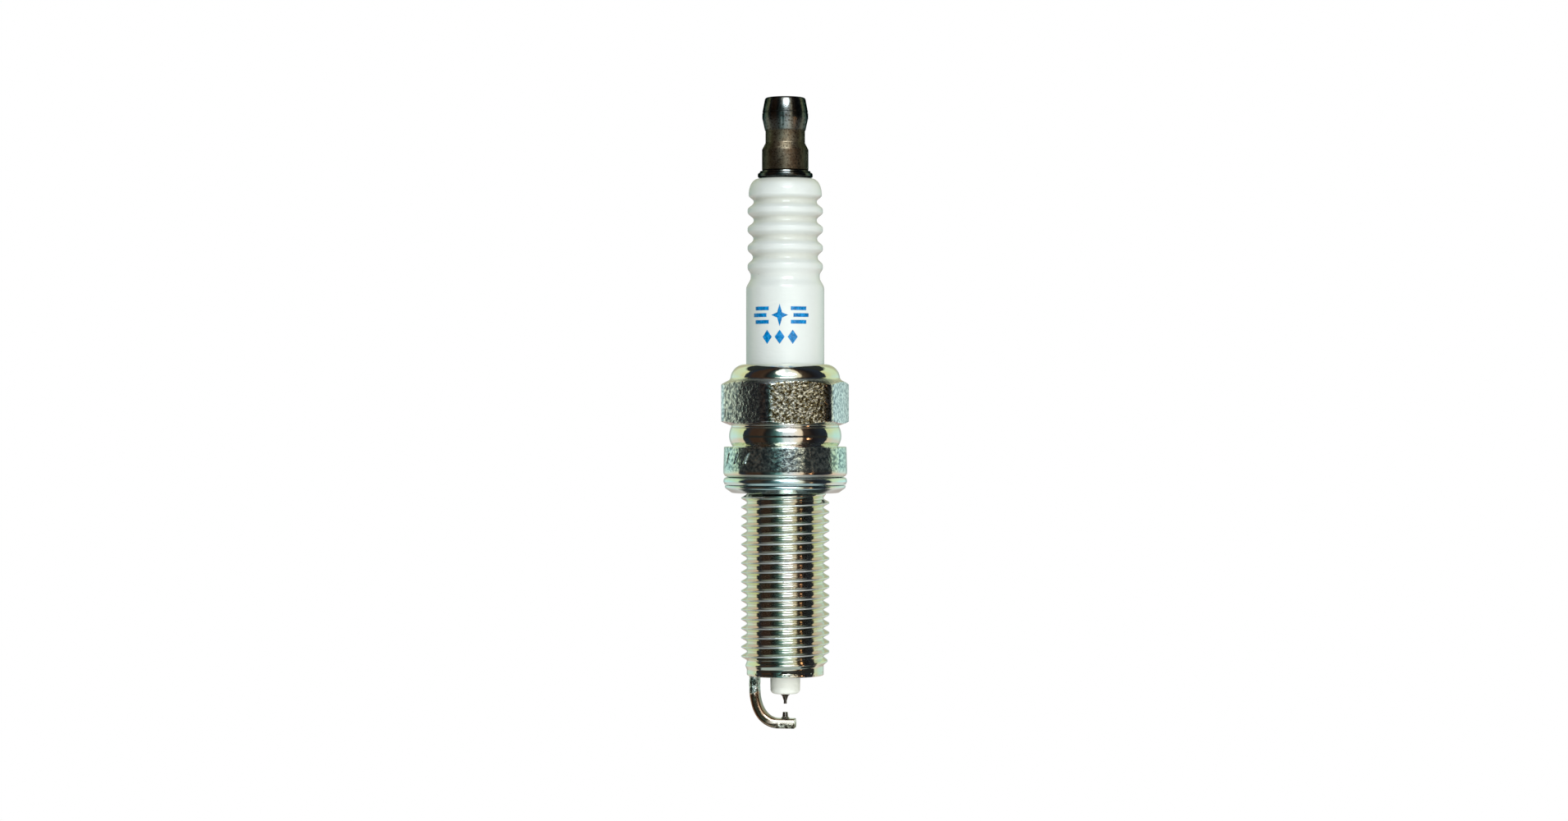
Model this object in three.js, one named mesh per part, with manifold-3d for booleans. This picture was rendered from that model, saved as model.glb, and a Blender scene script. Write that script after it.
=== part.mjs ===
// A long-reach spark plug with a fine-wire centre electrode, as an assembly of its separate pieces.
//
// Millimetres, +Z up along the plug's axis, with the terminal at the top and the firing end at the
// bottom. The origin is on the axis, in the plane where the gasket meets the cylinder head. Nearly
// every piece is a body of revolution, so most functions below draw a half section, as points of
// radius and height, and turn it about Z.

import * as THREE from 'three';
import { mergeVertices } from 'three/addons/utils/BufferGeometryUtils.js';
import Module from 'manifold-3d';

const wasm = await Module();
wasm.setup();

// ---------------------------------------------------------------- driving dimensions

const COARSE = 16; // facets round a hidden piece
const MEDIUM = 24; // facets round a visible piece
const FINE = 32; // facets round the shell's widest parts

// Shell thread, M12 x 1.25, right-handed.
const THREAD_PITCH = 1.25;
const THREAD_MAJOR_RADIUS = 5.95;
const THREAD_ROOT_RADIUS = 5.175;
const THREAD_CREST_WIDTH = 0.156;
const THREAD_START = -23.52; // height of the first crest where the thread starts, at the back
const THREAD_TURNS = 19;
const THREAD_GROW_TURNS = 1.1;
const THREAD_SINK_TURNS = 0.6;
const THREAD_FACETS = 20;
const SHELL_END = -24.5;
const SHELL_END_CHAMFER = 0.2;

// Seat collar, buckled ring, hexagon and crimp.
const COLLAR_BOTTOM = 2.2;
const COLLAR_TOP = 6.22;
const COLLAR_RADIUS = 8.33;
const COLLAR_TOP_RADIUS = 8.24;
const COLLAR_TOP_CHAMFER = 0.13;
const COLLAR_FOOT_RADIUS = 7.75;
const COLLAR_FOOT_ROUND = 0.6;
const SEAT_NECK_RADIUS = 5.3;
const SEAT_NECK_BOTTOM = 0.9;
const RING_BOTTOM = 6.27;
const RING_TOP = 8.97;
const RING_RADIUS = 7.55;
const RING_NOTCH_RADIUS = 7.2;
const HEX_ACROSS_FLATS = 15.85; // a 16 mm spanner size
const HEX_ROUNDING = 2.3; // radius of the forged corners
const HEX_BOTTOM = 9.1;
const HEX_TOP = 15.2;
const HEX_FACE_RADIUS = 7.45; // where the turned end faces meet the chamfers
const HEX_LOWER_CHAMFER = 0.5;
const HEX_UPPER_CHAMFER = 0.7;
const HEX_TURN = 13.5 * Math.PI / 180; // the front flat faces this far from -Y, towards +X
const CRIMP_RADIUS = 2.0;
const CRIMP_CENTRE_RADIUS = 5.37;
const CRIMP_LIP_RADIUS = 5.6;
const CRIMP_LIP_THICKNESS = 0.8;
const CRIMP_TOP = 17.3;

// Shell bore.
const WIDE_BORE_RADIUS = 6.45;
const WIDE_BORE_TOP = 15.9;
const WIDE_BORE_BOTTOM = 4.6;
const TRUNK_BORE_RADIUS = 4.0;
const SEAT_LEDGE_TOP = -9.0;
const SEAT_LEDGE_DROP = 0.75;
const SEAT_LEDGE_RADIUS = 3.15;
const SEAT_LEDGE_LENGTH = 1.2;
const END_BORE_RADIUS = 3.4;
const END_BORE_CONE = 0.4;

// Insulator.
const INSULATOR_TOP = 42.2;
const INSULATOR_TOP_FLAT_RADIUS = 3.62;
const CROWN_RADIUS = 4.92;
const CROWN_HEIGHT = 40.1;
const GROOVE_PITCH = 2.49;
const FIRST_GROOVE_HEIGHT = 39.1;
const GROOVE_RADII = [4.25, 4.25, 4.3, 4.37, 4.64];
const RIB_RADIUS = 5.065;
const BARREL_RADIUS = 5.25;
const BARREL_TOP = 27.1;
const SHOULDER_TOP = 10.6;
const SHOULDER_BOTTOM = 9.9;
const FLANGE_RADIUS = 6.2;
const FLANGE_BOTTOM = 4.9;
const TRUNK_RADIUS = 3.75;
const NOSE_END = -27.0;
const NOSE_RADIUS = 1.985;
const NOSE_START_RADIUS = 2.95;
const NOSE_CORNER_RADIUS = 0.6;
const NOSE_TAPER = 0.05;
const NOSE_TAPER_TOP = -23.5;
const UPPER_BORE_RADIUS = 2.0;
const BORE_STEP_TOP = -7.6;
const LOWER_BORE_RADIUS = 1.25;

// Terminal.
const STUD_FLANGE_BOTTOM = 42.3;
const STUD_FLANGE_TOP = 43.2;
const STUD_FLANGE_RADIUS = 3.7;
const STUD_SHAFT_RADIUS = 1.6;
const STUD_TAIL_END = 6.0;
const STUD_TAIL_TOP = 9.6;
const STUD_TAIL_GROOVES = 4;
const STUD_TAIL_GROOVE_DEPTH = 0.25;
const STUD_TAIL_EASE = 0.1; // the grooved tail is this much thinner than the shaft
const STUD_END = 50.5;
const STUD_THREAD_PITCH = 0.7;
const STUD_THREAD_RADIUS = 1.95;
const STUD_ROOT_RADIUS = 1.6;
const STUD_THREAD_CREST_WIDTH = 0.12;
const STUD_THREAD_START = 43.7;
const STUD_THREAD_TURNS = 9;
const STUD_THREAD_END_TURNS = 0.5;
const STUD_THREAD_FACETS = 14;
const NUT_BOTTOM = 43.3;
const NUT_TOP = 53.1;
const NUT_BASE_RADIUS = 3.125;
const NUT_BASE_TOP = 46.1;
const NUT_BASE_CHAMFER = 0.12;
const NUT_NECK_RADIUS = 2.655;
const NUT_NECK_BOTTOM = 47.0;
const NUT_NECK_TOP = 48.7;
const NUT_HEAD_RADIUS = 3.09;
const NUT_HEAD_SWELL = 0.57; // share of the head's growth that is reached half way up
const NUT_HEAD_BAND_BOTTOM = 50.3;
const NUT_HEAD_BAND_TOP = 51.05;
const NUT_TOP_FLAT_RADIUS = 2.4;
const NUT_TOP_ROUND = 0.35;
const NUT_BORE_RADIUS = 2.1;
const NUT_BORE_END = 51.3;
const NUT_BORE_CONE = 0.4;

// Conducting column inside the insulator.
const COLUMN_RADIUS = 1.92;
const UPPER_SEAL_TOP = 9.4;
const UPPER_SEAL_BOTTOM = 3.6;
const RESISTOR_TOP = 3.5;
const RESISTOR_BOTTOM = -2.3;
const LOWER_SEAL_TOP = -2.4;
const LOWER_SEAL_BOTTOM = -6.5;

// Centre electrode.
const ELECTRODE_RADIUS = 1.1;
const ELECTRODE_HEAD_RADIUS = 1.7;
const ELECTRODE_HEAD_TOP = -6.6;
const ELECTRODE_HEAD_BOTTOM = -7.3;
const ELECTRODE_HEAD_CONE = 0.7;
const ELECTRODE_STUB_TOP = -5.4;
const ELECTRODE_STUB_RADIUS = 0.9;
const ELECTRODE_CONE_START = -26.65;
const ELECTRODE_CONE_END = -27.3;
const ELECTRODE_CONE_END_RADIUS = 0.36;
const ELECTRODE_WELD_TOP = -27.6;
const ELECTRODE_WELD_TOP_RADIUS = 0.27;
const ELECTRODE_WELD_RADIUS = 0.24;
const ELECTRODE_END = -27.85;
const CORE_RADIUS = 0.6;
const CORE_END = -24.9;
const TIP_RADIUS = 0.22;
const TIP_CHAMFER = 0.025;
const TIP_END = -28.35;
const TIP_GAP = 0.02; // left between the tip and its weld

// Ground electrode.
const BAR_WIDTH = 2.2;
const BAR_THICKNESS = 1.3;
const BAR_EDGE_RADIUS = 0.35;
const BAR_OUTER_RADIUS = 4.79; // from the plug's axis to the bar's outer face
const BAR_BOTTOM = -31.65;
const BAR_BEND_START = -26.2;
const BAR_BEND_FULLNESS = 0.62; // 0.55 would make the bend a quarter ellipse
const BAR_BEND_END = -0.8; // where the bend runs out into the straight arm, along the bend plane
const BAR_TIP = 1.35; // how far the arm reaches past the axis
const BAR_TURN = -9 * Math.PI / 180; // the arm points from +X towards -Y by this
const PAD_RADIUS = 0.31;
const PAD_FOOT_RADIUS = 0.35;
const PAD_FLARE_RADIUS = 0.62;
const PAD_FLARE_THICKNESS = 0.1;
const PAD_FLARE_HEIGHT = 0.24;
const PAD_CHAMFER = 0.03;
const PAD_TOP = -29.47;

// Gasket: one strip of sheet folded to an S.
const GASKET_SHEET = 0.4;
const GASKET_INNER_EDGE = 6.15;
const GASKET_LOWER_FOLD = 0.4; // bend radii of the sheet's middle line
const GASKET_INNER_FOLD = 0.45;
const GASKET_TOP_FOLD = 0.4;
const GASKET_LOWER_FOLD_START = 7.5;
const GASKET_INNER_FOLD_START = 6.3;
const GASKET_TOP_FOLD_START = 7.75;

// Gaps left between pieces that touch, and round the loose rings and the powder.
const JOINT_GAP = 0.05;
const PACKING_GAP = 0.08;

// Packing between the insulator and the shell.
const PACKING_THICKNESS = 0.45;
const INSULATOR_SEAT_RISE = PACKING_THICKNESS + 2 * JOINT_GAP;
const PACKING_INNER = BARREL_RADIUS + PACKING_GAP;
const PACKING_OUTER = WIDE_BORE_RADIUS - 2 * PACKING_GAP;
const WIRE_RADIUS = (PACKING_OUTER - PACKING_INNER) / 2;
const LOWER_WIRE_HEIGHT = SHOULDER_TOP + WIRE_RADIUS + PACKING_GAP;
const UPPER_WIRE_HEIGHT = WIDE_BORE_TOP - WIRE_RADIUS - 0.1;

// ---------------------------------------------------------------- geometry helpers

const point = (radius, height) => new THREE.Vector2(radius, height);

// Points on an elliptical arc of a half section; the angles are in degrees, 0 outward and 90 up.
function arc(centreRadius, centreHeight, across, up, fromAngle, toAngle, steps) {
  const points = [];
  for (let i = 0; i <= steps; i += 1) {
    const angle = THREE.MathUtils.degToRad(fromAngle + (toAngle - fromAngle) * i / steps);
    points.push(point(centreRadius + across * Math.cos(angle), centreHeight + up * Math.sin(angle)));
  }
  return points;
}

// Merges shared vertices, drops triangles that have shrunk to a line, and turns the faces outward.
function closed(geometry) {
  const bare = geometry.clone();
  bare.deleteAttribute('normal');
  bare.deleteAttribute('uv');
  const merged = mergeVertices(bare, 1e-5);
  const source = merged.index.array;
  const position = merged.attributes.position;
  const corners = [new THREE.Vector3(), new THREE.Vector3(), new THREE.Vector3()];
  const kept = [];
  let volume = 0;
  for (let i = 0; i < source.length; i += 3) {
    const [a, b, c] = [source[i], source[i + 1], source[i + 2]];
    if (a === b || b === c || c === a) continue;
    kept.push(a, b, c);
    corners.forEach((corner, k) => corner.fromBufferAttribute(position, source[i + k]));
    volume += corners[0].dot(corners[1].clone().cross(corners[2]));
  }
  if (volume < 0) kept.reverse();
  merged.setIndex(kept);
  return merged;
}

// Turns a half section about Z. The profile starts and ends on the axis, or closes on itself.
function revolve(profile, facets) {
  const lathe = new THREE.LatheGeometry(profile, facets);
  lathe.rotateX(Math.PI / 2);
  return closed(lathe);
}

const ring = (profile, facets) => revolve([...profile, profile[0]], facets);

function toSolid(geometry) {
  const welded = closed(geometry);
  const vertProperties = new Float32Array(welded.attributes.position.array);
  const triVerts = new Uint32Array(welded.index.array);
  return new wasm.Manifold(new wasm.Mesh({ numProp: 3, vertProperties, triVerts }));
}

function toGeometry(solid) {
  const mesh = solid.getMesh();
  const geometry = new THREE.BufferGeometry();
  geometry.setAttribute('position', new THREE.BufferAttribute(mesh.vertProperties, 3));
  geometry.setIndex(new THREE.BufferAttribute(mesh.triVerts, 1));
  return geometry;
}

// A threaded bar, turned from below, its thread and above. Each turn of the thread is a tooth of four
// rows of points that climb one pitch as they go round, so the end of a row meets the start of the
// row a turn higher. At the seam, which is at the back (+Y), the first tooth starts from one point
// and the last one ends in one, and the crest grows from the root and sinks back over part of a turn.
function threadedBar({ below, above, rootRadius, crestRadius, crestWidth, pitch, start, turns,
  growTurns, sinkTurns, facets }) {
  const halfCrest = crestWidth / 2;
  const halfTooth = halfCrest + (crestRadius - rootRadius) * Math.tan(Math.PI / 6);
  const bottom = start - halfTooth;
  const top = start + turns * pitch + halfTooth;
  const profile = [...below, point(rootRadius, bottom)];
  const firstRow = profile.length;
  for (let turn = 0; turn < turns; turn += 1) {
    const crest = start + turn * pitch;
    profile.push(point(rootRadius, crest - halfTooth));
    profile.push(point(crestRadius, crest - halfCrest));
    profile.push(point(crestRadius, crest + halfCrest));
    profile.push(point(rootRadius, crest + halfTooth));
  }
  const lastRow = profile.length - 1;
  profile.push(point(rootRadius, top), ...above);
  const lathe = new THREE.LatheGeometry(profile, facets, Math.PI);
  lathe.rotateX(Math.PI / 2);
  const position = lathe.attributes.position;
  for (let column = 0; column <= facets; column += 1) {
    for (let row = firstRow; row <= lastRow; row += 1) {
      const index = column * profile.length + row;
      const turned = Math.floor((row - firstRow) / 4) + column / facets;
      const grown = Math.min(1, turned / growTurns, (turns - turned) / sinkTurns);
      const radius = rootRadius + (profile[row].x - rootRadius) * grown;
      const share = radius / profile[row].x;
      let height = profile[row].y + pitch * column / facets;
      if (turned === 0) height = bottom;
      if (turned === turns) height = top;
      position.setXYZ(index, position.getX(index) * share, position.getY(index) * share, height);
    }
  }
  return toSolid(lathe);
}

// ---------------------------------------------------------------- shell

// How far from the axis the centre of each corner's rounding is.
function hexRoundingCentre() {
  return (HEX_ACROSS_FLATS / 2 - HEX_ROUNDING) / Math.cos(Math.PI / 6);
}

// A hexagon with rounded corners.
function hexagonOutline() {
  const centre = hexRoundingCentre();
  const cornerSteps = 6;
  const outline = [];
  for (let side = 0; side < 6; side += 1) {
    const flat = side * Math.PI / 3 + HEX_TURN - Math.PI / 2;
    const corner = flat + Math.PI / 6;
    for (let i = 0; i <= cornerSteps; i += 1) {
      const angle = flat + Math.PI / 3 * i / cornerSteps;
      outline.push(point(
        centre * Math.cos(corner) + HEX_ROUNDING * Math.cos(angle),
        centre * Math.sin(corner) + HEX_ROUNDING * Math.sin(angle),
      ));
    }
  }
  return new THREE.Shape(outline);
}

// The hexagon is cut by a turned body with a chamfer above and below.
function hexagon() {
  const prism = new THREE.ExtrudeGeometry(hexagonOutline(), {
    depth: HEX_TOP - HEX_BOTTOM,
    steps: 1,
    bevelEnabled: false,
  });
  prism.translate(0, 0, HEX_BOTTOM);
  const corner = hexRoundingCentre() + HEX_ROUNDING;
  const wide = corner + 0.5;
  const slope = (wide - HEX_FACE_RADIUS) / (corner - HEX_FACE_RADIUS);
  const chamfers = revolve([
    point(0, HEX_BOTTOM),
    point(HEX_FACE_RADIUS, HEX_BOTTOM),
    point(wide, HEX_BOTTOM + HEX_LOWER_CHAMFER * slope),
    point(wide, HEX_TOP - HEX_UPPER_CHAMFER * slope),
    point(HEX_FACE_RADIUS, HEX_TOP),
    point(0, HEX_TOP),
  ], FINE);
  return toSolid(prism).intersect(toSolid(chamfers));
}

// Everything above the thread but the hexagon: neck, collar, buckled ring and crimped lip.
function shellHead() {
  const ringMiddle = (RING_BOTTOM + RING_TOP) / 2;
  const ringBulge = RING_RADIUS - RING_NOTCH_RADIUS;
  return toSolid(revolve([
    point(0, SEAT_NECK_BOTTOM),
    point(SEAT_NECK_RADIUS, SEAT_NECK_BOTTOM),
    point(SEAT_NECK_RADIUS, COLLAR_BOTTOM),
    point(COLLAR_FOOT_RADIUS, COLLAR_BOTTOM),
    ...arc(COLLAR_FOOT_RADIUS, COLLAR_BOTTOM + COLLAR_FOOT_ROUND, COLLAR_RADIUS - COLLAR_FOOT_RADIUS,
      COLLAR_FOOT_ROUND, -60, 0, 2),
    point(COLLAR_TOP_RADIUS, COLLAR_TOP - COLLAR_TOP_CHAMFER),
    point(COLLAR_TOP_RADIUS - COLLAR_TOP_CHAMFER, COLLAR_TOP),
    point(RING_NOTCH_RADIUS, COLLAR_TOP),
    ...arc(RING_NOTCH_RADIUS, ringMiddle, ringBulge, (RING_TOP - RING_BOTTOM) / 2, -72, 72, 6),
    point(RING_NOTCH_RADIUS, RING_TOP + 0.05),
    point(RING_NOTCH_RADIUS, HEX_BOTTOM + HEX_LOWER_CHAMFER),
    point(CRIMP_CENTRE_RADIUS + CRIMP_RADIUS, HEX_TOP - HEX_UPPER_CHAMFER),
    ...arc(CRIMP_CENTRE_RADIUS, CRIMP_TOP - CRIMP_RADIUS, CRIMP_RADIUS, CRIMP_RADIUS, 0, 83, 6),
    point(0, CRIMP_TOP),
  ], FINE));
}

// The stepped bore, from the lip down through the insulator's seat to the open end.
function shellBore() {
  const trunkTop = WIDE_BORE_BOTTOM - (WIDE_BORE_RADIUS - TRUNK_BORE_RADIUS);
  const ledgeBottom = SEAT_LEDGE_TOP - SEAT_LEDGE_DROP;
  const ledgeEnd = ledgeBottom - SEAT_LEDGE_LENGTH;
  const runOut = 1; // how far the cutting body reaches past each end
  return toSolid(revolve([
    point(0, CRIMP_TOP + runOut),
    point(CRIMP_LIP_RADIUS, CRIMP_TOP + runOut),
    point(CRIMP_LIP_RADIUS, CRIMP_TOP - CRIMP_LIP_THICKNESS),
    point(WIDE_BORE_RADIUS, WIDE_BORE_TOP),
    point(WIDE_BORE_RADIUS, WIDE_BORE_BOTTOM),
    point(TRUNK_BORE_RADIUS, trunkTop),
    point(TRUNK_BORE_RADIUS, SEAT_LEDGE_TOP),
    point(SEAT_LEDGE_RADIUS, ledgeBottom),
    point(SEAT_LEDGE_RADIUS, ledgeEnd),
    point(END_BORE_RADIUS, ledgeEnd - END_BORE_CONE),
    point(END_BORE_RADIUS, SHELL_END - runOut),
    point(0, SHELL_END - runOut),
  ], THREAD_FACETS));
}

function threadedShank() {
  const hiddenTop = (SEAT_NECK_BOTTOM + COLLAR_BOTTOM) / 2; // the shank runs on inside the seat's neck
  return threadedBar({
    below: [
      point(0, SHELL_END),
      point(THREAD_ROOT_RADIUS - SHELL_END_CHAMFER, SHELL_END),
      point(THREAD_ROOT_RADIUS, SHELL_END + SHELL_END_CHAMFER),
    ],
    above: [
      point(THREAD_ROOT_RADIUS, hiddenTop),
      point(0, hiddenTop),
    ],
    rootRadius: THREAD_ROOT_RADIUS,
    crestRadius: THREAD_MAJOR_RADIUS,
    crestWidth: THREAD_CREST_WIDTH,
    pitch: THREAD_PITCH,
    start: THREAD_START,
    turns: THREAD_TURNS,
    growTurns: THREAD_GROW_TURNS,
    sinkTurns: THREAD_SINK_TURNS,
    facets: THREAD_FACETS,
  });
}

function shell() {
  return toGeometry(shellHead().add(hexagon()).add(threadedShank()).subtract(shellBore()));
}

// ---------------------------------------------------------------- insulator

// Goes from 0 to 1 with flat ends, a little faster than the full step so that ribs have flat tops.
function ease(step) {
  const t = Math.min(1, 1.08 * step);
  return t * t * t * (t * (6 * t - 15) + 10);
}

// Height and radius of each rib and groove, from the crown down to the barrel.
function ribTurningPoints() {
  const turns = [[CROWN_HEIGHT, CROWN_RADIUS]];
  GROOVE_RADII.forEach((grooveRadius, i) => {
    const height = FIRST_GROOVE_HEIGHT - i * GROOVE_PITCH;
    turns.push([height, grooveRadius]);
    const last = i === GROOVE_RADII.length - 1;
    turns.push(last ? [BARREL_TOP, BARREL_RADIUS] : [height - GROOVE_PITCH / 2, RIB_RADIUS]);
  });
  return turns;
}

// The eased curve between each rib and the groove beside it.
function ribbedOutline(steps) {
  const turns = ribTurningPoints();
  const outline = [];
  for (let i = 0; i + 1 < turns.length; i += 1) {
    const [fromHeight, fromRadius] = turns[i];
    const [toHeight, toRadius] = turns[i + 1];
    for (let k = 1; k <= steps; k += 1) {
      const share = k / steps;
      const rise = fromRadius < toRadius ? ease(share) : 1 - ease(1 - share);
      const height = fromHeight + (toHeight - fromHeight) * share;
      outline.push(point(fromRadius + (toRadius - fromRadius) * rise, height));
    }
  }
  return outline;
}

// Height of the seat cone's lower face on the shell, at a radius.
function seatHeight(radius) {
  const share = (TRUNK_BORE_RADIUS - radius) / (TRUNK_BORE_RADIUS - SEAT_LEDGE_RADIUS);
  return SEAT_LEDGE_TOP - SEAT_LEDGE_DROP * share;
}

function insulator() {
  const crownHeight = INSULATOR_TOP - CROWN_HEIGHT;
  const flangeToTrunk = FLANGE_RADIUS - TRUNK_RADIUS;
  return ring([
    point(UPPER_BORE_RADIUS, INSULATOR_TOP),
    ...arc(INSULATOR_TOP_FLAT_RADIUS, CROWN_HEIGHT, CROWN_RADIUS - INSULATOR_TOP_FLAT_RADIUS,
      crownHeight, 90, 0, 4),
    ...ribbedOutline(3),
    point(BARREL_RADIUS, SHOULDER_TOP),
    point(FLANGE_RADIUS, SHOULDER_BOTTOM),
    point(FLANGE_RADIUS, FLANGE_BOTTOM),
    point(TRUNK_RADIUS, FLANGE_BOTTOM - flangeToTrunk),
    point(TRUNK_RADIUS, seatHeight(TRUNK_RADIUS) + INSULATOR_SEAT_RISE),
    point(NOSE_START_RADIUS, seatHeight(NOSE_START_RADIUS) + INSULATOR_SEAT_RISE),
    point(NOSE_RADIUS + NOSE_TAPER, NOSE_TAPER_TOP),
    ...arc(NOSE_RADIUS - NOSE_CORNER_RADIUS, NOSE_END + NOSE_CORNER_RADIUS, NOSE_CORNER_RADIUS,
      NOSE_CORNER_RADIUS, 0, -90, 3),
    point(LOWER_BORE_RADIUS, NOSE_END),
    point(LOWER_BORE_RADIUS, BORE_STEP_TOP - (UPPER_BORE_RADIUS - LOWER_BORE_RADIUS)),
    point(UPPER_BORE_RADIUS, BORE_STEP_TOP),
  ], MEDIUM);
}

// ---------------------------------------------------------------- packing inside the shell

function seatPacking() {
  const inner = SEAT_LEDGE_RADIUS + PACKING_GAP;
  const outer = TRUNK_BORE_RADIUS - 2 * PACKING_GAP;
  const lower = (radius) => seatHeight(radius) + JOINT_GAP;
  return ring([
    point(inner, lower(inner)),
    point(outer, lower(outer)),
    point(outer, lower(outer) + PACKING_THICKNESS),
    point(inner, lower(inner) + PACKING_THICKNESS),
  ], COARSE);
}

function packingRing(height) {
  const middle = (PACKING_INNER + PACKING_OUTER) / 2;
  return revolve(arc(middle, height, WIRE_RADIUS, WIRE_RADIUS, 0, 360, 8), MEDIUM);
}

function talcFilling() {
  const bottom = LOWER_WIRE_HEIGHT + WIRE_RADIUS + PACKING_GAP;
  const top = UPPER_WIRE_HEIGHT - WIRE_RADIUS - PACKING_GAP;
  return ring([
    point(PACKING_INNER, bottom),
    point(PACKING_OUTER, bottom),
    point(PACKING_OUTER, top),
    point(PACKING_INNER, top),
  ], MEDIUM);
}

// ---------------------------------------------------------------- terminal

// The head widens from the neck in a shallow curve to a band, and tapers again to a rounded top.
function terminalNut() {
  const headRise = NUT_HEAD_BAND_BOTTOM - NUT_NECK_TOP;
  const headGrowth = NUT_HEAD_RADIUS - NUT_NECK_RADIUS;
  return ring([
    point(NUT_BORE_RADIUS, NUT_BOTTOM),
    point(NUT_BASE_RADIUS - NUT_BASE_CHAMFER, NUT_BOTTOM),
    point(NUT_BASE_RADIUS, NUT_BOTTOM + NUT_BASE_CHAMFER),
    point(NUT_BASE_RADIUS, NUT_BASE_TOP),
    point(NUT_NECK_RADIUS, NUT_NECK_BOTTOM),
    point(NUT_NECK_RADIUS, NUT_NECK_TOP),
    point(NUT_NECK_RADIUS + NUT_HEAD_SWELL * headGrowth, NUT_NECK_TOP + headRise / 2),
    point(NUT_HEAD_RADIUS, NUT_HEAD_BAND_BOTTOM),
    point(NUT_HEAD_RADIUS, NUT_HEAD_BAND_TOP),
    ...arc(NUT_TOP_FLAT_RADIUS, NUT_TOP - NUT_TOP_ROUND, NUT_TOP_ROUND, NUT_TOP_ROUND, 15, 90, 4),
    point(0, NUT_TOP),
    point(0, NUT_BORE_END + NUT_BORE_CONE * 2),
    point(NUT_BORE_RADIUS - NUT_BORE_CONE, NUT_BORE_END),
    point(NUT_BORE_RADIUS, NUT_BORE_END),
  ], MEDIUM);
}

function terminalStud() {
  const flangeMiddle = (STUD_FLANGE_BOTTOM + STUD_FLANGE_TOP) / 2;
  const edge = (STUD_FLANGE_TOP - STUD_FLANGE_BOTTOM) / 2;
  const tailRadius = STUD_SHAFT_RADIUS - STUD_TAIL_EASE;
  const groovePitch = (STUD_TAIL_TOP - STUD_TAIL_END) / (STUD_TAIL_GROOVES + 1);
  const tail = [];
  for (let i = 1; i <= STUD_TAIL_GROOVES; i += 1) {
    const height = STUD_TAIL_END + i * groovePitch;
    tail.push(point(tailRadius, height - STUD_TAIL_GROOVE_DEPTH));
    tail.push(point(tailRadius - STUD_TAIL_GROOVE_DEPTH, height));
    tail.push(point(tailRadius, height + STUD_TAIL_GROOVE_DEPTH));
  }
  const body = toSolid(revolve([
    point(0, STUD_TAIL_END),
    point(tailRadius - STUD_TAIL_EASE, STUD_TAIL_END),
    ...tail,
    point(STUD_SHAFT_RADIUS, STUD_TAIL_TOP + STUD_TAIL_EASE),
    point(STUD_SHAFT_RADIUS, STUD_FLANGE_BOTTOM),
    ...arc(STUD_FLANGE_RADIUS - edge, flangeMiddle, edge, edge, -90, 90, 4),
    point(0, STUD_FLANGE_TOP),
  ], MEDIUM));
  const threadedEnd = threadedBar({
    below: [
      point(0, flangeMiddle),
      point(STUD_ROOT_RADIUS, flangeMiddle),
    ],
    above: [
      point(STUD_ROOT_RADIUS - STUD_THREAD_CREST_WIDTH, STUD_END),
      point(0, STUD_END),
    ],
    rootRadius: STUD_ROOT_RADIUS,
    crestRadius: STUD_THREAD_RADIUS,
    crestWidth: STUD_THREAD_CREST_WIDTH,
    pitch: STUD_THREAD_PITCH,
    start: STUD_THREAD_START,
    turns: STUD_THREAD_TURNS,
    growTurns: STUD_THREAD_END_TURNS,
    sinkTurns: STUD_THREAD_END_TURNS,
    facets: STUD_THREAD_FACETS,
  });
  return toGeometry(body.add(threadedEnd));
}

// ---------------------------------------------------------------- conducting column

function upperGlassSeal() {
  const pocketRadius = STUD_SHAFT_RADIUS + JOINT_GAP;
  const pocketEnd = STUD_TAIL_END - 4 * JOINT_GAP;
  return revolve([
    point(0, UPPER_SEAL_BOTTOM),
    point(COLUMN_RADIUS, UPPER_SEAL_BOTTOM),
    point(COLUMN_RADIUS, UPPER_SEAL_TOP),
    point(pocketRadius, UPPER_SEAL_TOP),
    point(pocketRadius, pocketEnd),
    point(0, pocketEnd),
  ], COARSE);
}

function resistorElement() {
  return revolve([
    point(0, RESISTOR_BOTTOM),
    point(COLUMN_RADIUS, RESISTOR_BOTTOM),
    point(COLUMN_RADIUS, RESISTOR_TOP),
    point(0, RESISTOR_TOP),
  ], COARSE);
}

function lowerGlassSeal() {
  const pocketRadius = ELECTRODE_STUB_RADIUS + 2 * JOINT_GAP;
  const pocketTop = ELECTRODE_STUB_TOP + 2 * JOINT_GAP;
  return revolve([
    point(0, pocketTop),
    point(pocketRadius, pocketTop),
    point(pocketRadius, LOWER_SEAL_BOTTOM),
    point(COLUMN_RADIUS, LOWER_SEAL_BOTTOM),
    point(COLUMN_RADIUS, LOWER_SEAL_TOP),
    point(0, LOWER_SEAL_TOP),
  ], COARSE);
}

// ---------------------------------------------------------------- centre electrode

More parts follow.
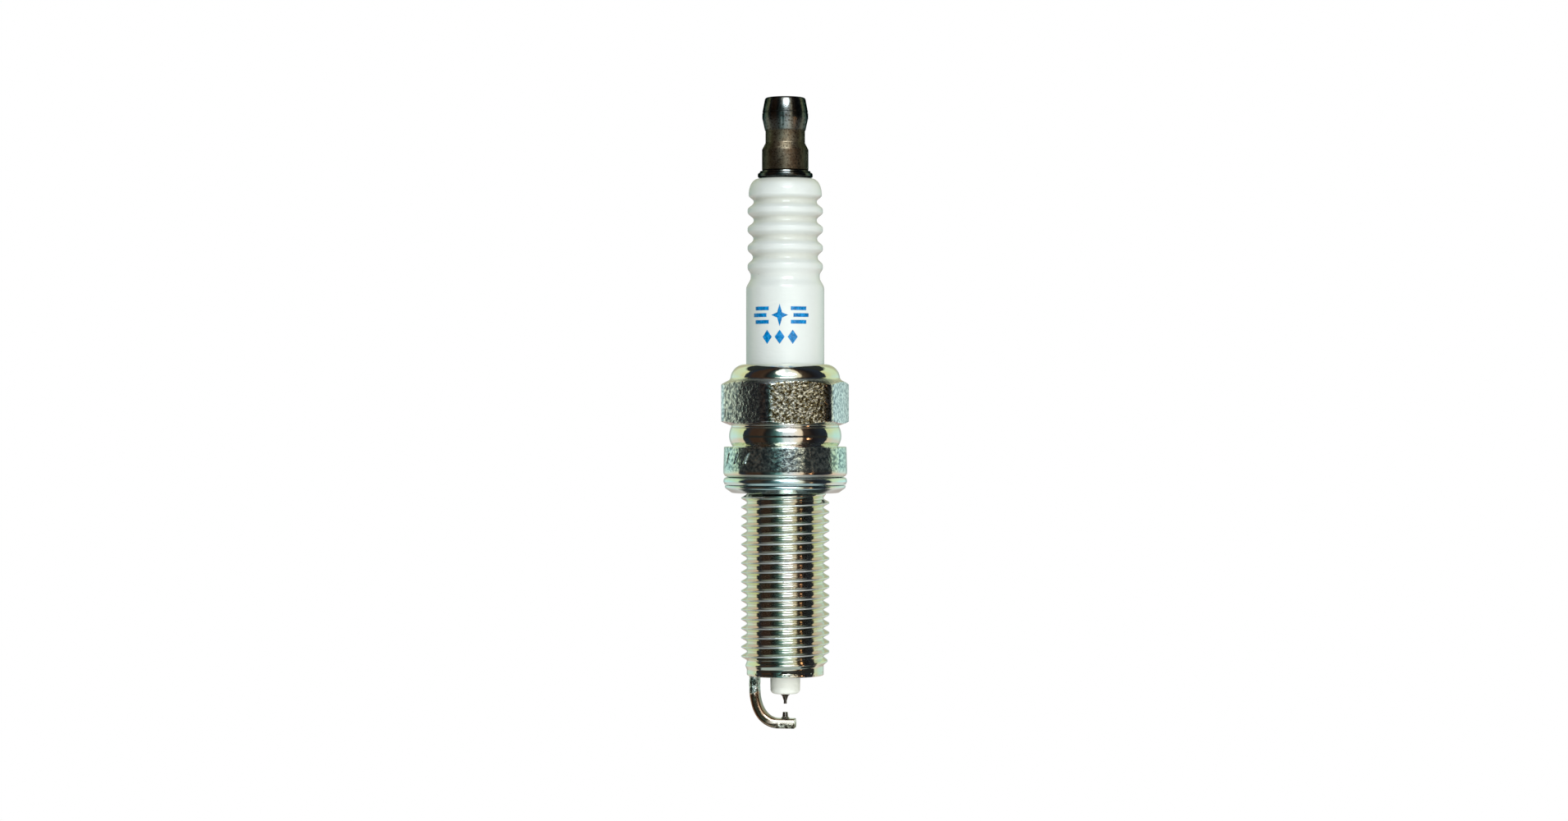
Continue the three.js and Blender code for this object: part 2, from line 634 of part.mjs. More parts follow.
// A nickel cup, open at the top, with a flanged head and a coned end that carries the tip.
function centreElectrode() {
  const cupRadius = CORE_RADIUS + JOINT_GAP;
  return revolve([
    point(0, CORE_END - JOINT_GAP),
    point(cupRadius, CORE_END - JOINT_GAP),
    point(cupRadius, ELECTRODE_STUB_TOP),
    point(ELECTRODE_STUB_RADIUS, ELECTRODE_STUB_TOP),
    point(ELECTRODE_STUB_RADIUS, ELECTRODE_HEAD_TOP),
    point(ELECTRODE_HEAD_RADIUS, ELECTRODE_HEAD_TOP),
    point(ELECTRODE_HEAD_RADIUS, ELECTRODE_HEAD_BOTTOM),
    point(ELECTRODE_RADIUS, ELECTRODE_HEAD_BOTTOM - ELECTRODE_HEAD_CONE),
    point(ELECTRODE_RADIUS, ELECTRODE_CONE_START),
    point(ELECTRODE_CONE_END_RADIUS, ELECTRODE_CONE_END),
    point(ELECTRODE_WELD_TOP_RADIUS, ELECTRODE_WELD_TOP),
    point(ELECTRODE_WELD_RADIUS, ELECTRODE_END),
    point(0, ELECTRODE_END),
  ], COARSE);
}

function centreElectrodeCore() {
  return revolve([
    point(0, CORE_END),
    point(CORE_RADIUS, CORE_END),
    point(CORE_RADIUS, ELECTRODE_STUB_TOP),
    point(0, ELECTRODE_STUB_TOP),
  ], COARSE);
}

function centreElectrodeTip() {
  const top = ELECTRODE_END - TIP_GAP;
  return revolve([
    point(0, TIP_END),
    point(TIP_RADIUS - TIP_CHAMFER, TIP_END),
    point(TIP_RADIUS, TIP_END + TIP_CHAMFER),
    point(TIP_RADIUS, top),
    point(0, top),
  ], COARSE);
}

// ---------------------------------------------------------------- ground electrode

// Down from the shell's end, round the bend and along to the tip, in the XZ plane.
function barPath() {
  const half = BAR_THICKNESS / 2;
  const legX = -(BAR_OUTER_RADIUS - half);
  const armZ = BAR_BOTTOM + half;
  const start = new THREE.Vector3(legX, 0, SHELL_END - JOINT_GAP);
  const bendStart = new THREE.Vector3(legX, 0, BAR_BEND_START);
  const bendEnd = new THREE.Vector3(BAR_BEND_END, 0, armZ);
  const tip = new THREE.Vector3(BAR_TIP, 0, armZ);
  const down = new THREE.Vector3(legX, 0, BAR_BEND_START + (armZ - BAR_BEND_START) * BAR_BEND_FULLNESS);
  const back = new THREE.Vector3(BAR_BEND_END + (legX - BAR_BEND_END) * BAR_BEND_FULLNESS, 0, armZ);
  const path = new THREE.CurvePath();
  path.add(new THREE.LineCurve3(start, bendStart));
  path.add(new THREE.CubicBezierCurve3(bendStart, down, back, bendEnd));
  path.add(new THREE.LineCurve3(bendEnd, tip));
  return path;
}

function barSection() {
  const x = BAR_WIDTH / 2;
  const y = BAR_THICKNESS / 2;
  const r = BAR_EDGE_RADIUS;
  const section = new THREE.Shape();
  section.moveTo(-x + r, -y);
  section.lineTo(x - r, -y);
  section.absarc(x - r, -y + r, r, -Math.PI / 2, 0);
  section.lineTo(x, y - r);
  section.absarc(x - r, y - r, r, 0, Math.PI / 2);
  section.lineTo(-x + r, y);
  section.absarc(-x + r, y - r, r, Math.PI / 2, Math.PI);
  section.lineTo(-x, -y + r);
  section.absarc(-x + r, -y + r, r, Math.PI, 3 * Math.PI / 2);
  return section;
}

function groundElectrode() {
  const bar = new THREE.ExtrudeGeometry(barSection(), {
    extrudePath: barPath(),
    steps: 20,
    curveSegments: 1,
    bevelEnabled: false,
  });
  return closed(bar);
}

// A short wire on the arm's upper face, with the flare that its weld leaves round the foot.
function groundElectrodePad() {
  const foot = BAR_BOTTOM + BAR_THICKNESS + JOINT_GAP;
  return revolve([
    point(0, foot),
    point(PAD_FLARE_RADIUS, foot),
    point(PAD_FLARE_RADIUS - PAD_FLARE_THICKNESS, foot + PAD_FLARE_THICKNESS),
    point(PAD_FOOT_RADIUS, foot + PAD_FLARE_HEIGHT),
    point(PAD_RADIUS, PAD_TOP - PAD_CHAMFER),
    point(PAD_RADIUS - PAD_CHAMFER, PAD_TOP),
    point(0, PAD_TOP),
  ], COARSE);
}

// ---------------------------------------------------------------- gasket

// Middle line of the folded strip: out along the bottom, round the lower fold, in along the middle,
// round the inner fold, out along the top and down over the outer edge.
function gasketMiddleLine() {
  const bottom = GASKET_SHEET / 2;
  const middle = bottom + 2 * GASKET_LOWER_FOLD;
  const top = middle + 2 * GASKET_INNER_FOLD;
  const fold = (start, height, radius, from, to) => arc(start, height, radius, radius, from, to, 3);
  return [
    point(GASKET_INNER_EDGE, bottom),
    ...fold(GASKET_LOWER_FOLD_START, bottom + GASKET_LOWER_FOLD, GASKET_LOWER_FOLD, -90, 90),
    ...fold(GASKET_INNER_FOLD_START, middle + GASKET_INNER_FOLD, GASKET_INNER_FOLD, 270, 90),
    ...fold(GASKET_TOP_FOLD_START, top - GASKET_TOP_FOLD, GASKET_TOP_FOLD, 90, -5),
  ];
}

function gasket() {
  const line = gasketMiddleLine();
  const sides = [1, -1].map((side) => line.map((here, i) => {
    const before = line[Math.max(0, i - 1)];
    const after = line[Math.min(line.length - 1, i + 1)];
    const along = after.clone().sub(before).normalize();
    return point(here.x + side * along.y * GASKET_SHEET / 2, here.y - side * along.x * GASKET_SHEET / 2);
  }));
  return ring([...sides[0], ...sides[1].reverse()], MEDIUM);
}

// ---------------------------------------------------------------- assembly

const smokyNickel = { color: 0x4a443c, roughness: 0.35, metalness: 1.0 };
const glazedAlumina = { color: 0xeef0ec, roughness: 0.12, metalness: 0.0 };
const zincPlate = { color: 0xc9cdc6, roughness: 0.22, metalness: 1.0 };
const nickelAlloy = { color: 0x8d8273, roughness: 0.3, metalness: 1.0 };
const preciousMetal = { color: 0x9c9a98, roughness: 0.3, metalness: 1.0 };
const copper = { color: 0xc07a50, roughness: 0.35, metalness: 1.0 };
const sealGlass = { color: 0x4b4a48, roughness: 0.5, metalness: 0.2 };
const resistorMix = { color: 0x2c2b2a, roughness: 0.8, metalness: 0.0 };
const talc = { color: 0xe2ddd2, roughness: 0.95, metalness: 0.0 };
const springSteel = { color: 0x9a9a98, roughness: 0.4, metalness: 1.0 };

const plug = new THREE.Group();

function piece(name, geometry, finish) {
  const mesh = new THREE.Mesh(geometry, new THREE.MeshStandardMaterial(finish));
  mesh.name = name;
  plug.add(mesh);
  return mesh;
}

piece('terminal_nut', terminalNut(), smokyNickel);
piece('terminal_stud', terminalStud(), smokyNickel);
piece('insulator', insulator(), glazedAlumina);
piece('upper_glass_seal', upperGlassSeal(), sealGlass);
piece('resistor_element', resistorElement(), resistorMix);
piece('lower_glass_seal', lowerGlassSeal(), sealGlass);
piece('centre_electrode', centreElectrode(), nickelAlloy);
piece('centre_electrode_core', centreElectrodeCore(), copper);
piece('centre_electrode_tip', centreElectrodeTip(), preciousMetal);
piece('shell', shell(), zincPlate);
piece('seat_packing', seatPacking(), springSteel);
piece('lower_packing_ring', packingRing(LOWER_WIRE_HEIGHT), springSteel);
piece('talc_filling', talcFilling(), talc);
piece('upper_packing_ring', packingRing(UPPER_WIRE_HEIGHT), springSteel);
piece('gasket', gasket(), zincPlate);
piece('ground_electrode', groundElectrode(), nickelAlloy).rotation.z = BAR_TURN;
piece('ground_electrode_pad', groundElectrodePad(), preciousMetal);

export default plug;
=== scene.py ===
"""Looks of a long-reach spark plug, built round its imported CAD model.

The numbers in the shapes below are millimetres in the CAD frame: Z runs up the plug's axis and the
photographed side faces -Y. Nearly every piece is drawn as a half section of radius and height and
turned about Z, so it comes out as rows of points (down the section) by columns (round the axis).
"""

import math

import bmesh
import bpy
import numpy as np
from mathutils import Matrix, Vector, noise


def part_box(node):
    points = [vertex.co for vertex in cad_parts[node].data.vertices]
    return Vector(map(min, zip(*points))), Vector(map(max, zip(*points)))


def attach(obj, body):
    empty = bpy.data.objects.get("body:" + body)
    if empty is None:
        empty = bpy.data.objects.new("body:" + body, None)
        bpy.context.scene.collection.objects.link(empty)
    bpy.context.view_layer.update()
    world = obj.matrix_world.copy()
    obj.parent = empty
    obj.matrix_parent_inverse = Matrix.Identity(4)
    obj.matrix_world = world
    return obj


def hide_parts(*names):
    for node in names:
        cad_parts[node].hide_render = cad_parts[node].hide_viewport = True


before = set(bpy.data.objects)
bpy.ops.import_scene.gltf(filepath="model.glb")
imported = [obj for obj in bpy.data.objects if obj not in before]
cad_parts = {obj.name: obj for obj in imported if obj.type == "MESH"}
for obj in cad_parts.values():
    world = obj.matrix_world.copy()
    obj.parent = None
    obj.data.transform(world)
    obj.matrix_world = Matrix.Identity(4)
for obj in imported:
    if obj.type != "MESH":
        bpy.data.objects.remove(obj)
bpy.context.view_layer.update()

MM = 0.001
FRONT = -90.0  # the azimuth, in degrees from +X, of the side that faces the camera
BACK = 90.0


def span(node):
    """Lowest and highest point of a CAD node, in millimetres."""
    low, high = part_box(node)
    return low.z / MM, high.z / MM


NUT_BOTTOM, NUT_TOP = span("terminal_nut")
STUD_BOTTOM, STUD_TOP = span("terminal_stud")
NOSE_END, INSULATOR_TOP = span("insulator")
SHELL_END, CRIMP_TOP = span("shell")
GASKET_BOTTOM, GASKET_TOP = span("gasket")
BAR_BOTTOM, BAR_TOP = span("ground_electrode")
PAD_FOOT, PAD_TOP = span("ground_electrode_pad")
ELECTRODE_END, ELECTRODE_TOP = span("centre_electrode")
TIP_END, TIP_TOP = span("centre_electrode_tip")

# Heights and radii that both a shape and its material use.
CROWN_HEIGHT, CROWN_RADIUS = 40.1, 4.92
BARREL_TOP, BARREL_RADIUS = 27.1, 5.25
NUT_FOOT_TOP, NUT_NECK_TOP = 46.1, 48.7
FLANGE_TOP = 43.2


# ---------------------------------------------------------------- camera and studio

def make_camera():
    """Level with the middle of the photograph's frame, at its distance."""
    data = bpy.data.cameras.new("camera")
    data.lens = 70
    data.sensor_width = 36
    camera = bpy.data.objects.new("camera", data)
    camera.location = Vector((-0.165, -410, 11.06)) * MM
    camera.rotation_euler = (math.radians(90), 0, 0)
    bpy.context.scene.collection.objects.link(camera)
    bpy.context.scene.camera = camera


def opaque(colour):
    """Adds the alpha to a colour of three numbers, and leaves a socket as it is."""
    return (*colour, 1) if isinstance(colour, tuple) else colour


class Graph:
    """A node tree, with short calls for the nodes that the materials and the studio need."""

    def __init__(self, tree):
        self.tree = tree
        tree.nodes.clear()

    def add(self, kind, values=None, **settings):
        made = self.tree.nodes.new(kind)
        for name, value in settings.items():
            setattr(made, name, value)
        for name, value in (values or {}).items():
            if isinstance(value, bpy.types.NodeSocket):
                self.tree.links.new(value, made.inputs[name])
            else:
                made.inputs[name].default_value = value
        return made

    def math(self, operation, *values):
        return self.add("ShaderNodeMath", dict(enumerate(values)), operation=operation).outputs[0]

    def times(self, first, second):
        return self.math("MULTIPLY", first, second)

    def linear(self, value, slope, offset):
        return self.math("MULTIPLY_ADD", value, slope, offset)

    def step(self, value, low, high):
        """Goes smoothly from 0 to 1 as the value goes from low to high."""
        values = {"Value": value, "From Min": low, "From Max": high}
        made = self.add("ShaderNodeMapRange", values, interpolation_type="SMOOTHSTEP")
        return made.outputs["Result"]

    def mix(self, share, first, second, blend="MIX"):
        values = {0: share, 6: opaque(first), 7: opaque(second)}
        return self.add("ShaderNodeMix", values, data_type="RGBA", blend_type=blend).outputs[2]

    def ramp(self, value, stops):
        """Colours at places from 0 to 1, with straight runs between them."""
        made = self.add("ShaderNodeValToRGB", {"Fac": value})
        elements = made.color_ramp.elements
        while len(elements) < len(stops):
            elements.new(0.5)
        for element, (place, _) in zip(elements, sorted(stops), strict=True):
            element.position = place
        for element, (_, colour) in zip(elements, sorted(stops), strict=True):
            element.color = opaque(colour)
        return made.outputs["Color"]

    def place(self):
        """The point's place in the CAD frame, in metres."""
        return self.add("ShaderNodeTexCoord").outputs["Object"]

    def coordinate(self, axis):
        """The point's X, Y or Z (axis 0, 1 or 2) in the CAD frame, in millimetres."""
        metres = self.add("ShaderNodeSeparateXYZ", {0: self.place()}).outputs[axis]
        return self.times(metres, 1 / MM)

    def noise(self, size, detail=2.0, rough=0.5, stretch=(1, 1, 1), skew=0.0):
        """Noise from 0 to 1 with features of about that size in millimetres."""
        mapping = self.add("ShaderNodeMapping", {"Vector": self.place(), "Scale": stretch})
        values = {"Vector": mapping.outputs[0], "Scale": 1 / (size * MM), "Detail": detail,
                  "Roughness": rough, "Distortion": skew}
        return self.add("ShaderNodeTexNoise", values).outputs["Fac"]

    def specks(self, size, share):
        """1 in scattered small spots, 0 between them."""
        values = {"Vector": self.place(), "Scale": 1 / (size * MM)}
        cells = self.add("ShaderNodeTexVoronoi", values, feature="F1")
        return self.step(cells.outputs["Distance"], share, share * 0.6)

    def attribute(self, name):
        return self.add("ShaderNodeAttribute", attribute_name=name).outputs["Fac"]

    def bump(self, height, depth, normal=None):
        """Relief of that depth in millimetres."""
        values = {"Height": height, "Strength": 1.0, "Distance": depth * MM}
        if normal is not None:
            values["Normal"] = normal
        return self.add("ShaderNodeBump", values).outputs["Normal"]


def make_studio():
    """White behind the plug, and in front of it a dark room with one tall soft window.

    The camera sees plain white, and everything else is lit by the room. Azimuths are measured in
    degrees from the camera's side, positive towards +X. The window reaches from -8 to 36, with a
    teal edge down to -30, and is broken at eye height by the camera's own dark shape. A bright lamp
    hangs high in it, and a small warm one low beside it. Pale walls begin at 97 on either side.
    """
    world = bpy.data.worlds.new("studio")
    bpy.context.scene.world = world
    world.use_nodes = True
    graph = Graph(world.node_tree)
    direction = graph.add("ShaderNodeSeparateXYZ",
                          {0: graph.add("ShaderNodeTexCoord").outputs["Generated"]})
    across, away, up = direction.outputs
    azimuth = graph.math("DEGREES", graph.math("ARCTAN2", across, graph.times(away, -1.0)))
    elevation = graph.math("DEGREES", graph.math("ARCSINE", up))
    turn = graph.linear(azimuth, 1 / 360, 0.5)

    def around(stops):
        return graph.ramp(turn, [(degrees / 360 + 0.5, colour) for degrees, colour in stops])

    def spot(across_degrees, up_degrees, half_width, half_height):
        aside = graph.linear(azimuth, 1 / half_width, -across_degrees / half_width)
        above = graph.linear(elevation, 1 / half_height, -up_degrees / half_height)
        squares = graph.math("ADD", graph.math("POWER", aside, 2.0), graph.math("POWER", above, 2.0))
        return graph.step(squares, 1.4, 0.6)

    blue_black = (0.020, 0.026, 0.036)
    brown = (0.046, 0.026, 0.017)
    deep = (0.012, 0.010, 0.010)
    room = around([
        (-180, blue_black), (-86, blue_black), (-76, brown), (-60, brown),
        (-50, (0.060, 0.036, 0.024)), (-42, deep), (-31, (0.022, 0.038, 0.040)),
        (-20, (0.06, 0.14, 0.13)), (-13, (0.14, 0.31, 0.31)), (-8, (0.27, 0.48, 0.48)),
        (-4, (0.72, 0.84, 0.87)),
        (12, (0.92, 0.97, 0.98)), (24, (0.98, 0.94, 0.82)), (34, (0.95, 0.80, 0.56)),
        (37, (0.07, 0.045, 0.03)), (60, deep), (86, blue_black), (180, blue_black)])
    overhead = graph.step(graph.math("ABSOLUTE", elevation), 76, 84)
    room = graph.mix(overhead, room, (0.06, 0.06, 0.06))
    room = graph.mix(graph.step(elevation, -38, -50), room, (0.42, 0.49, 0.48))
    eye_height = graph.step(graph.math("ABSOLUTE", graph.math("ADD", elevation, 2.4)), 6.2, 4.8)
    room = graph.mix(eye_height, room, (0.022, 0.022, 0.020))
    room = graph.mix(spot(-12, 52, 13, 26), room, (1.5, 1.5, 1.4))
    room = graph.mix(spot(6, 32, 17, 9), room, (13.5, 14.8, 16.0))
    room = graph.mix(spot(50, -15, 2.5, 5), room, (3.2, 1.6, 0.75))

    mint, cream = (0.64, 0.79, 0.75), (0.66, 0.72, 0.56)
    half_wall = [(106, cream), (122, mint), (148, mint), (160, (0.46, 0.50, 0.48)),
                 (172, (0.42, 0.45, 0.43)), (180, (0.72, 0.80, 0.76))]
    wall = around([(-degrees, colour) for degrees, colour in half_wall] + half_wall)
    slope = graph.linear(elevation, 1 / 100, 0.5)
    shade = graph.ramp(slope, [
        (0.09, (0.04, 0.04, 0.04)), (0.12, (1.25, 0.92, 0.86)), (0.38, (1.15, 0.90, 0.84)),
        (0.48, (0.98, 1.12, 1.10)), (0.53, (1.0, 1.12, 1.05)), (0.66, (1.1, 1.05, 0.74)),
        (0.88, (1.15, 1.1, 0.74)), (0.91, (0.04, 0.04, 0.04))])
    wall = graph.mix(1.0, wall, shade, blend="MULTIPLY")
    light = graph.mix(graph.step(away, 0.110, 0.138), room, wall)

    seen = graph.add("ShaderNodeLightPath").outputs["Is Camera Ray"]
    colour = graph.mix(seen, light, (1, 1, 1))
    background = graph.add("ShaderNodeBackground", {"Color": colour, "Strength": 1.0})
    graph.add("ShaderNodeOutputWorld", {"Surface": background.outputs[0]})


SOFT_LIGHTS = [  # name, place and power in watts
    ("key", (130, -630, -30), 2.8),
    ("low_key", (60, -430, -470), 1.4),
    ("side", (520, -240, 0), 0.3),
    ("back_key", (-130, 630, 0), 2.7),
    ("back_low_key", (-60, 430, -470), 1.3),
    ("back_side", (-520, 240, 0), 0.3),
]
SOFT_LIGHT_SIZE = 450


def make_soft_lights():
    """Large soft lights for the matt and glazed surfaces; the metals mirror only the room."""
    for name, place, power in SOFT_LIGHTS:
        data = bpy.data.lights.new(name, "AREA")
        data.shape = "SQUARE"
        data.size = SOFT_LIGHT_SIZE * MM
        data.energy = power
        light = bpy.data.objects.new(name, data)
        light.location = Vector(place) * MM
        light.rotation_euler = (-light.location).to_track_quat("-Z", "Y").to_euler()
        light.visible_glossy = False
        light.visible_camera = False
        bpy.context.scene.collection.objects.link(light)


def make_floor():
    """A plain white floor that only the camera sees, from above."""
    mesh = bpy.data.meshes.new("floor")
    half, height = 4.0, SHELL_END * MM - 0.035
    corners = [(x * half, y * half, height) for x, y in ((-1, -1), (1, -1), (1, 1), (-1, 1))]
    mesh.from_pydata(corners, [], [(0, 1, 2, 3)])
    floor = bpy.data.objects.new("floor", mesh)
    bpy.context.scene.collection.objects.link(floor)
    material = bpy.data.materials.new("white_floor")
    material.use_nodes = True
    graph = Graph(material.node_tree)
    glow = graph.add("ShaderNodeEmission", {"Color": (1, 1, 1, 1), "Strength": 1.0})
    clear = graph.add("ShaderNodeBsdfTransparent")
    below = graph.add("ShaderNodeNewGeometry").outputs["Backfacing"]
    surface = graph.add("ShaderNodeMixShader", {0: below, 1: glow.outputs[0], 2: clear.outputs[0]})
    graph.add("ShaderNodeOutputMaterial", {"Surface": surface.outputs[0]})
    mesh.materials.append(material)
    for ray in ("visible_diffuse", "visible_glossy", "visible_shadow", "visible_transmission"):
        setattr(floor, ray, False)


# ---------------------------------------------------------------- materials

def surface(graph, material, tint, rough, relief, metallic=0.0, edge=(1, 1, 1), ior=1.5):
    """Ends a material's graph with its one Principled shader; edge tints its grazing reflection."""
    shader = graph.add("ShaderNodeBsdfPrincipled", {
        "Base Color": tint, "Roughness": rough, "Normal": relief, "Metallic": metallic,
        "Specular Tint": opaque(edge), "IOR": ior})
    graph.add("ShaderNodeOutputMaterial", {"Surface": shader.outputs[0]})
    return material


def begin(name):
    material = bpy.data.materials.new(name)
    material.use_nodes = True
    return material, Graph(material.node_tree)


def zinc_plate():
    """Bright zinc with a clear passivation: faint green, yellow and pink, and a tumbled grain."""
    material, graph = begin("zinc_plate")
    grain, on_painted_gold_reflection, collar, turned_face, end_ring = (
        graph.attribute(name) for name in ("grain", "painted_gold_reflection", "collar", "turned_face", "end_ring"))
    crest = graph.step(graph.attribute("crest"), 0.65, 1.0)
    head = graph.step(graph.coordinate(2), 1, 2)
    tint = graph.ramp(graph.noise(6.0, detail=3), [
        (0.30, (0.72, 0.82, 0.76)), (0.45, (0.80, 0.82, 0.74)), (0.55, (0.81, 0.81, 0.78)),
        (0.70, (0.84, 0.76, 0.72))])
    dull = graph.ramp(graph.noise(0.42, rough=0.6), [
        (0.38, (0.22, 0.25, 0.30)), (0.47, (0.50, 0.51, 0.56)), (0.56, (0.78, 0.75, 0.80)),
        (0.66, (1.0, 0.98, 1.0))])
    # Painted reflection: only the hexagon face towards -Y gets this golden speckle, from near black to
    # white, over its grain.
    painted_gold_reflection = graph.ramp(graph.noise(0.33, rough=0.7), [
        (0.39, (0.07, 0.05, 0.015)), (0.45, (0.34, 0.29, 0.15)), (0.50, (0.58, 0.57, 0.44)),
        (0.55, (0.80, 0.87, 0.80)), (0.61, (1.0, 1.0, 0.96))])
    tint = graph.mix(grain, tint, dull)
    tint = graph.mix(collar, tint, (0.86, 1.0, 0.90), blend="MULTIPLY")
    tint = graph.mix(head, graph.mix(1.0, tint, (0.98, 0.96, 0.93), blend="MULTIPLY"), tint)
    tint = graph.mix(on_painted_gold_reflection, tint, painted_gold_reflection)
    pits = graph.times(graph.specks(0.5, 0.16), graph.step(graph.noise(2.5), 0.5, 0.7))
    tint = graph.mix(graph.times(pits, 0.7), tint, (0.12, 0.11, 0.09))
    tint = graph.mix(graph.times(crest, 0.8), tint, (0.74, 0.81, 0.83))
    rough = graph.linear(graph.noise(0.8, detail=4), 0.08, 0.05)
    rough = graph.linear(grain, 0.06, rough)
    rough = graph.linear(crest, 0.20, rough)
    rough = graph.linear(turned_face, 0.30, rough)
    coarse = graph.times(graph.noise(0.50, rough=0.55), grain)
    sparkle = graph.times(graph.noise(0.22, rough=0.7), crest)
    dented = graph.times(graph.noise(0.8), end_ring)
    strength = graph.linear(collar, -0.15, graph.linear(on_painted_gold_reflection, 0.65, 1.0))
    relief = graph.bump(graph.times(coarse, strength), 0.038)
    relief = graph.bump(sparkle, 0.07, relief)
    relief = graph.bump(dented, 0.10, relief)
    relief = graph.bump(graph.times(graph.noise(1.5), head), 0.030, relief)
    relief = graph.bump(graph.noise(1.1), 0.006, relief)
    relief = graph.bump(graph.noise(0.14), 0.0012, relief)
    metal = graph.linear(collar, -0.022, graph.linear(crest, -0.20, 1.0))
    return surface(graph, material, tint, rough, relief, metal, edge=(1.0, 1.0, 0.98))


def gasket_plate():
    """Bluish plated sheet with faint rolling lines."""
    material, graph = begin("gasket_plate")
    tint = graph.ramp(graph.noise(5.0, detail=3), [
        (0.35, (0.66, 0.84, 0.87)), (0.6, (0.76, 0.90, 0.92))])
    rough = graph.linear(graph.noise(0.6, detail=4), 0.12, 0.08)
    relief = graph.bump(graph.noise(0.5, detail=3, stretch=(0.3, 0.3, 3)), 0.006)
    return surface(graph, material, tint, rough, relief, 1.0)


def smoky_nickel():
    """Blackened nickel: glossy and nearly black on the nut's head and the stud's flange, and brown
    and satin on the neck and the foot between them."""
    material, graph = begin("smoky_nickel")
    z = graph.coordinate(2)
    on_head = graph.step(z, NUT_NECK_TOP - 0.2, NUT_NECK_TOP + 0.2)
    glossy = graph.math("MAXIMUM", on_head, graph.step(z, FLANGE_TOP + 0.08, FLANGE_TOP + 0.02))
    cloud = graph.step(graph.noise(1.3, detail=5, rough=0.6), 0.3, 0.7)
    satin = graph.mix(cloud, (0.190, 0.132, 0.078), (0.350, 0.305, 0.215))
    foot = graph.step(z, NUT_FOOT_TOP + 0.2, NUT_FOOT_TOP - 0.2)
    satin = graph.mix(foot, satin, (0.70, 0.66, 0.66), blend="MULTIPLY")
    black = graph.mix(cloud, (0.104, 0.109, 0.102), (0.198, 0.215, 0.211))
    # Painted sheen: the lower part of the head, from the neck up to its widest band, gets a lighter
    # grey tint all round.
    underside = graph.times(graph.step(z, 50.9, 49.4),
                            graph.step(z, NUT_NECK_TOP - 0.7, NUT_NECK_TOP - 0.3))
    black = graph.mix(graph.times(underside, 0.7), black, (0.42, 0.45, 0.43))
    tint = graph.mix(glossy, satin, black)
    dust = graph.step(graph.noise(0.16), 0.58, 0.74)
    tint = graph.mix(graph.times(dust, 0.4), tint, (0.55, 0.52, 0.44))
    soot = graph.step(graph.noise(0.24), 0.48, 0.36)
    tint = graph.mix(graph.times(soot, 0.7), tint, (0.05, 0.035, 0.022))
    # Painted shade: where the surface turns away from the view, the tint is darkened towards near
    # black.
    facing = graph.add("ShaderNodeLayerWeight", {"Blend": 0.5}).outputs["Facing"]
    painted_edge_shade = graph.times(graph.step(facing, 0.14, 0.50), graph.linear(glossy, -0.15, 0.75))
    tint = graph.mix(painted_edge_shade, tint, (0.050, 0.056, 0.054))
    rough = graph.linear(graph.noise(0.5, detail=4), 0.12, 0.34)
    rough = graph.linear(glossy, -0.23, rough)
    rough = graph.linear(graph.times(underside, glossy), 0.17, rough)
    relief = graph.bump(graph.noise(0.30, detail=3, rough=0.6), 0.009)
    relief = graph.bump(graph.noise(1.8, detail=1), 0.02, relief)
    return surface(graph, material, tint, rough, relief, 1.0, edge=(0.03, 0.10, 0.12))


def glazed_alumina():
    """White glaze with a faint green-grey cast, painted darker and yellower in the grooves as shade;
    the nose is bare and matt.
    """
    material, graph = begin("glazed_alumina")
    x, y, z = (graph.coordinate(axis) for axis in range(3))
    radius = graph.math("SQRT", graph.math("ADD", graph.times(x, x), graph.times(y, y)))
    ribbed = graph.step(z, BARREL_TOP + 0.4, BARREL_TOP + 1.4)
    groove = graph.times(graph.step(radius, 4.8, 4.3), ribbed)
    mottle = graph.noise(2.5, detail=4)
    white = graph.mix(mottle, (0.55, 0.58, 0.55), (0.59, 0.612, 0.588))
    # Painted shade: the grooves between the ribs are darker and yellower than the ribs.
    groove_shade_tint = graph.mix(graph.noise(0.6, detail=3), (0.47, 0.475, 0.41), (0.53, 0.54, 0.48))
    tint = graph.mix(graph.times(groove, 0.7), white, groove_shade_tint)
    spots = graph.times(graph.specks(2.2, 0.045), graph.step(graph.noise(6.0), 0.5, 0.6))
    tint = graph.mix(graph.times(spots, 0.6), tint, (0.25, 0.22, 0.18))
    bare = graph.step(z, -5, -6)
    grit = graph.mix(graph.noise(0.2, detail=4), (0.68, 0.70, 0.635), (0.73, 0.745, 0.685))
    tint = graph.mix(bare, tint, grit)
    rough = graph.linear(bare, 0.40, graph.linear(graph.noise(0.9, detail=3), 0.10, 0.10))
    relief = graph.bump(graph.noise(1.6, stretch=(1, 1, 3.2), skew=0.3), 0.045)
    relief = graph.bump(graph.noise(0.10), 0.0015, relief)
    return surface(graph, material, tint, rough, relief, ior=1.52)


def printing_ink():
    """Fired blue print, a little streaky."""
    material, graph = begin("printing_ink")
    tint = graph.ramp(graph.noise(0.35, detail=4, stretch=(1, 1, 0.6)), [
        (0.35, (0.0, 0.10, 0.27)), (0.55, (0.0, 0.17, 0.42)), (0.75, (0.02, 0.26, 0.56))])
    rough = graph.linear(graph.noise(0.3), 0.15, 0.2)
    relief = graph.bump(graph.noise(0.15, detail=3), 0.006)
    return surface(graph, material, tint, rough, relief)


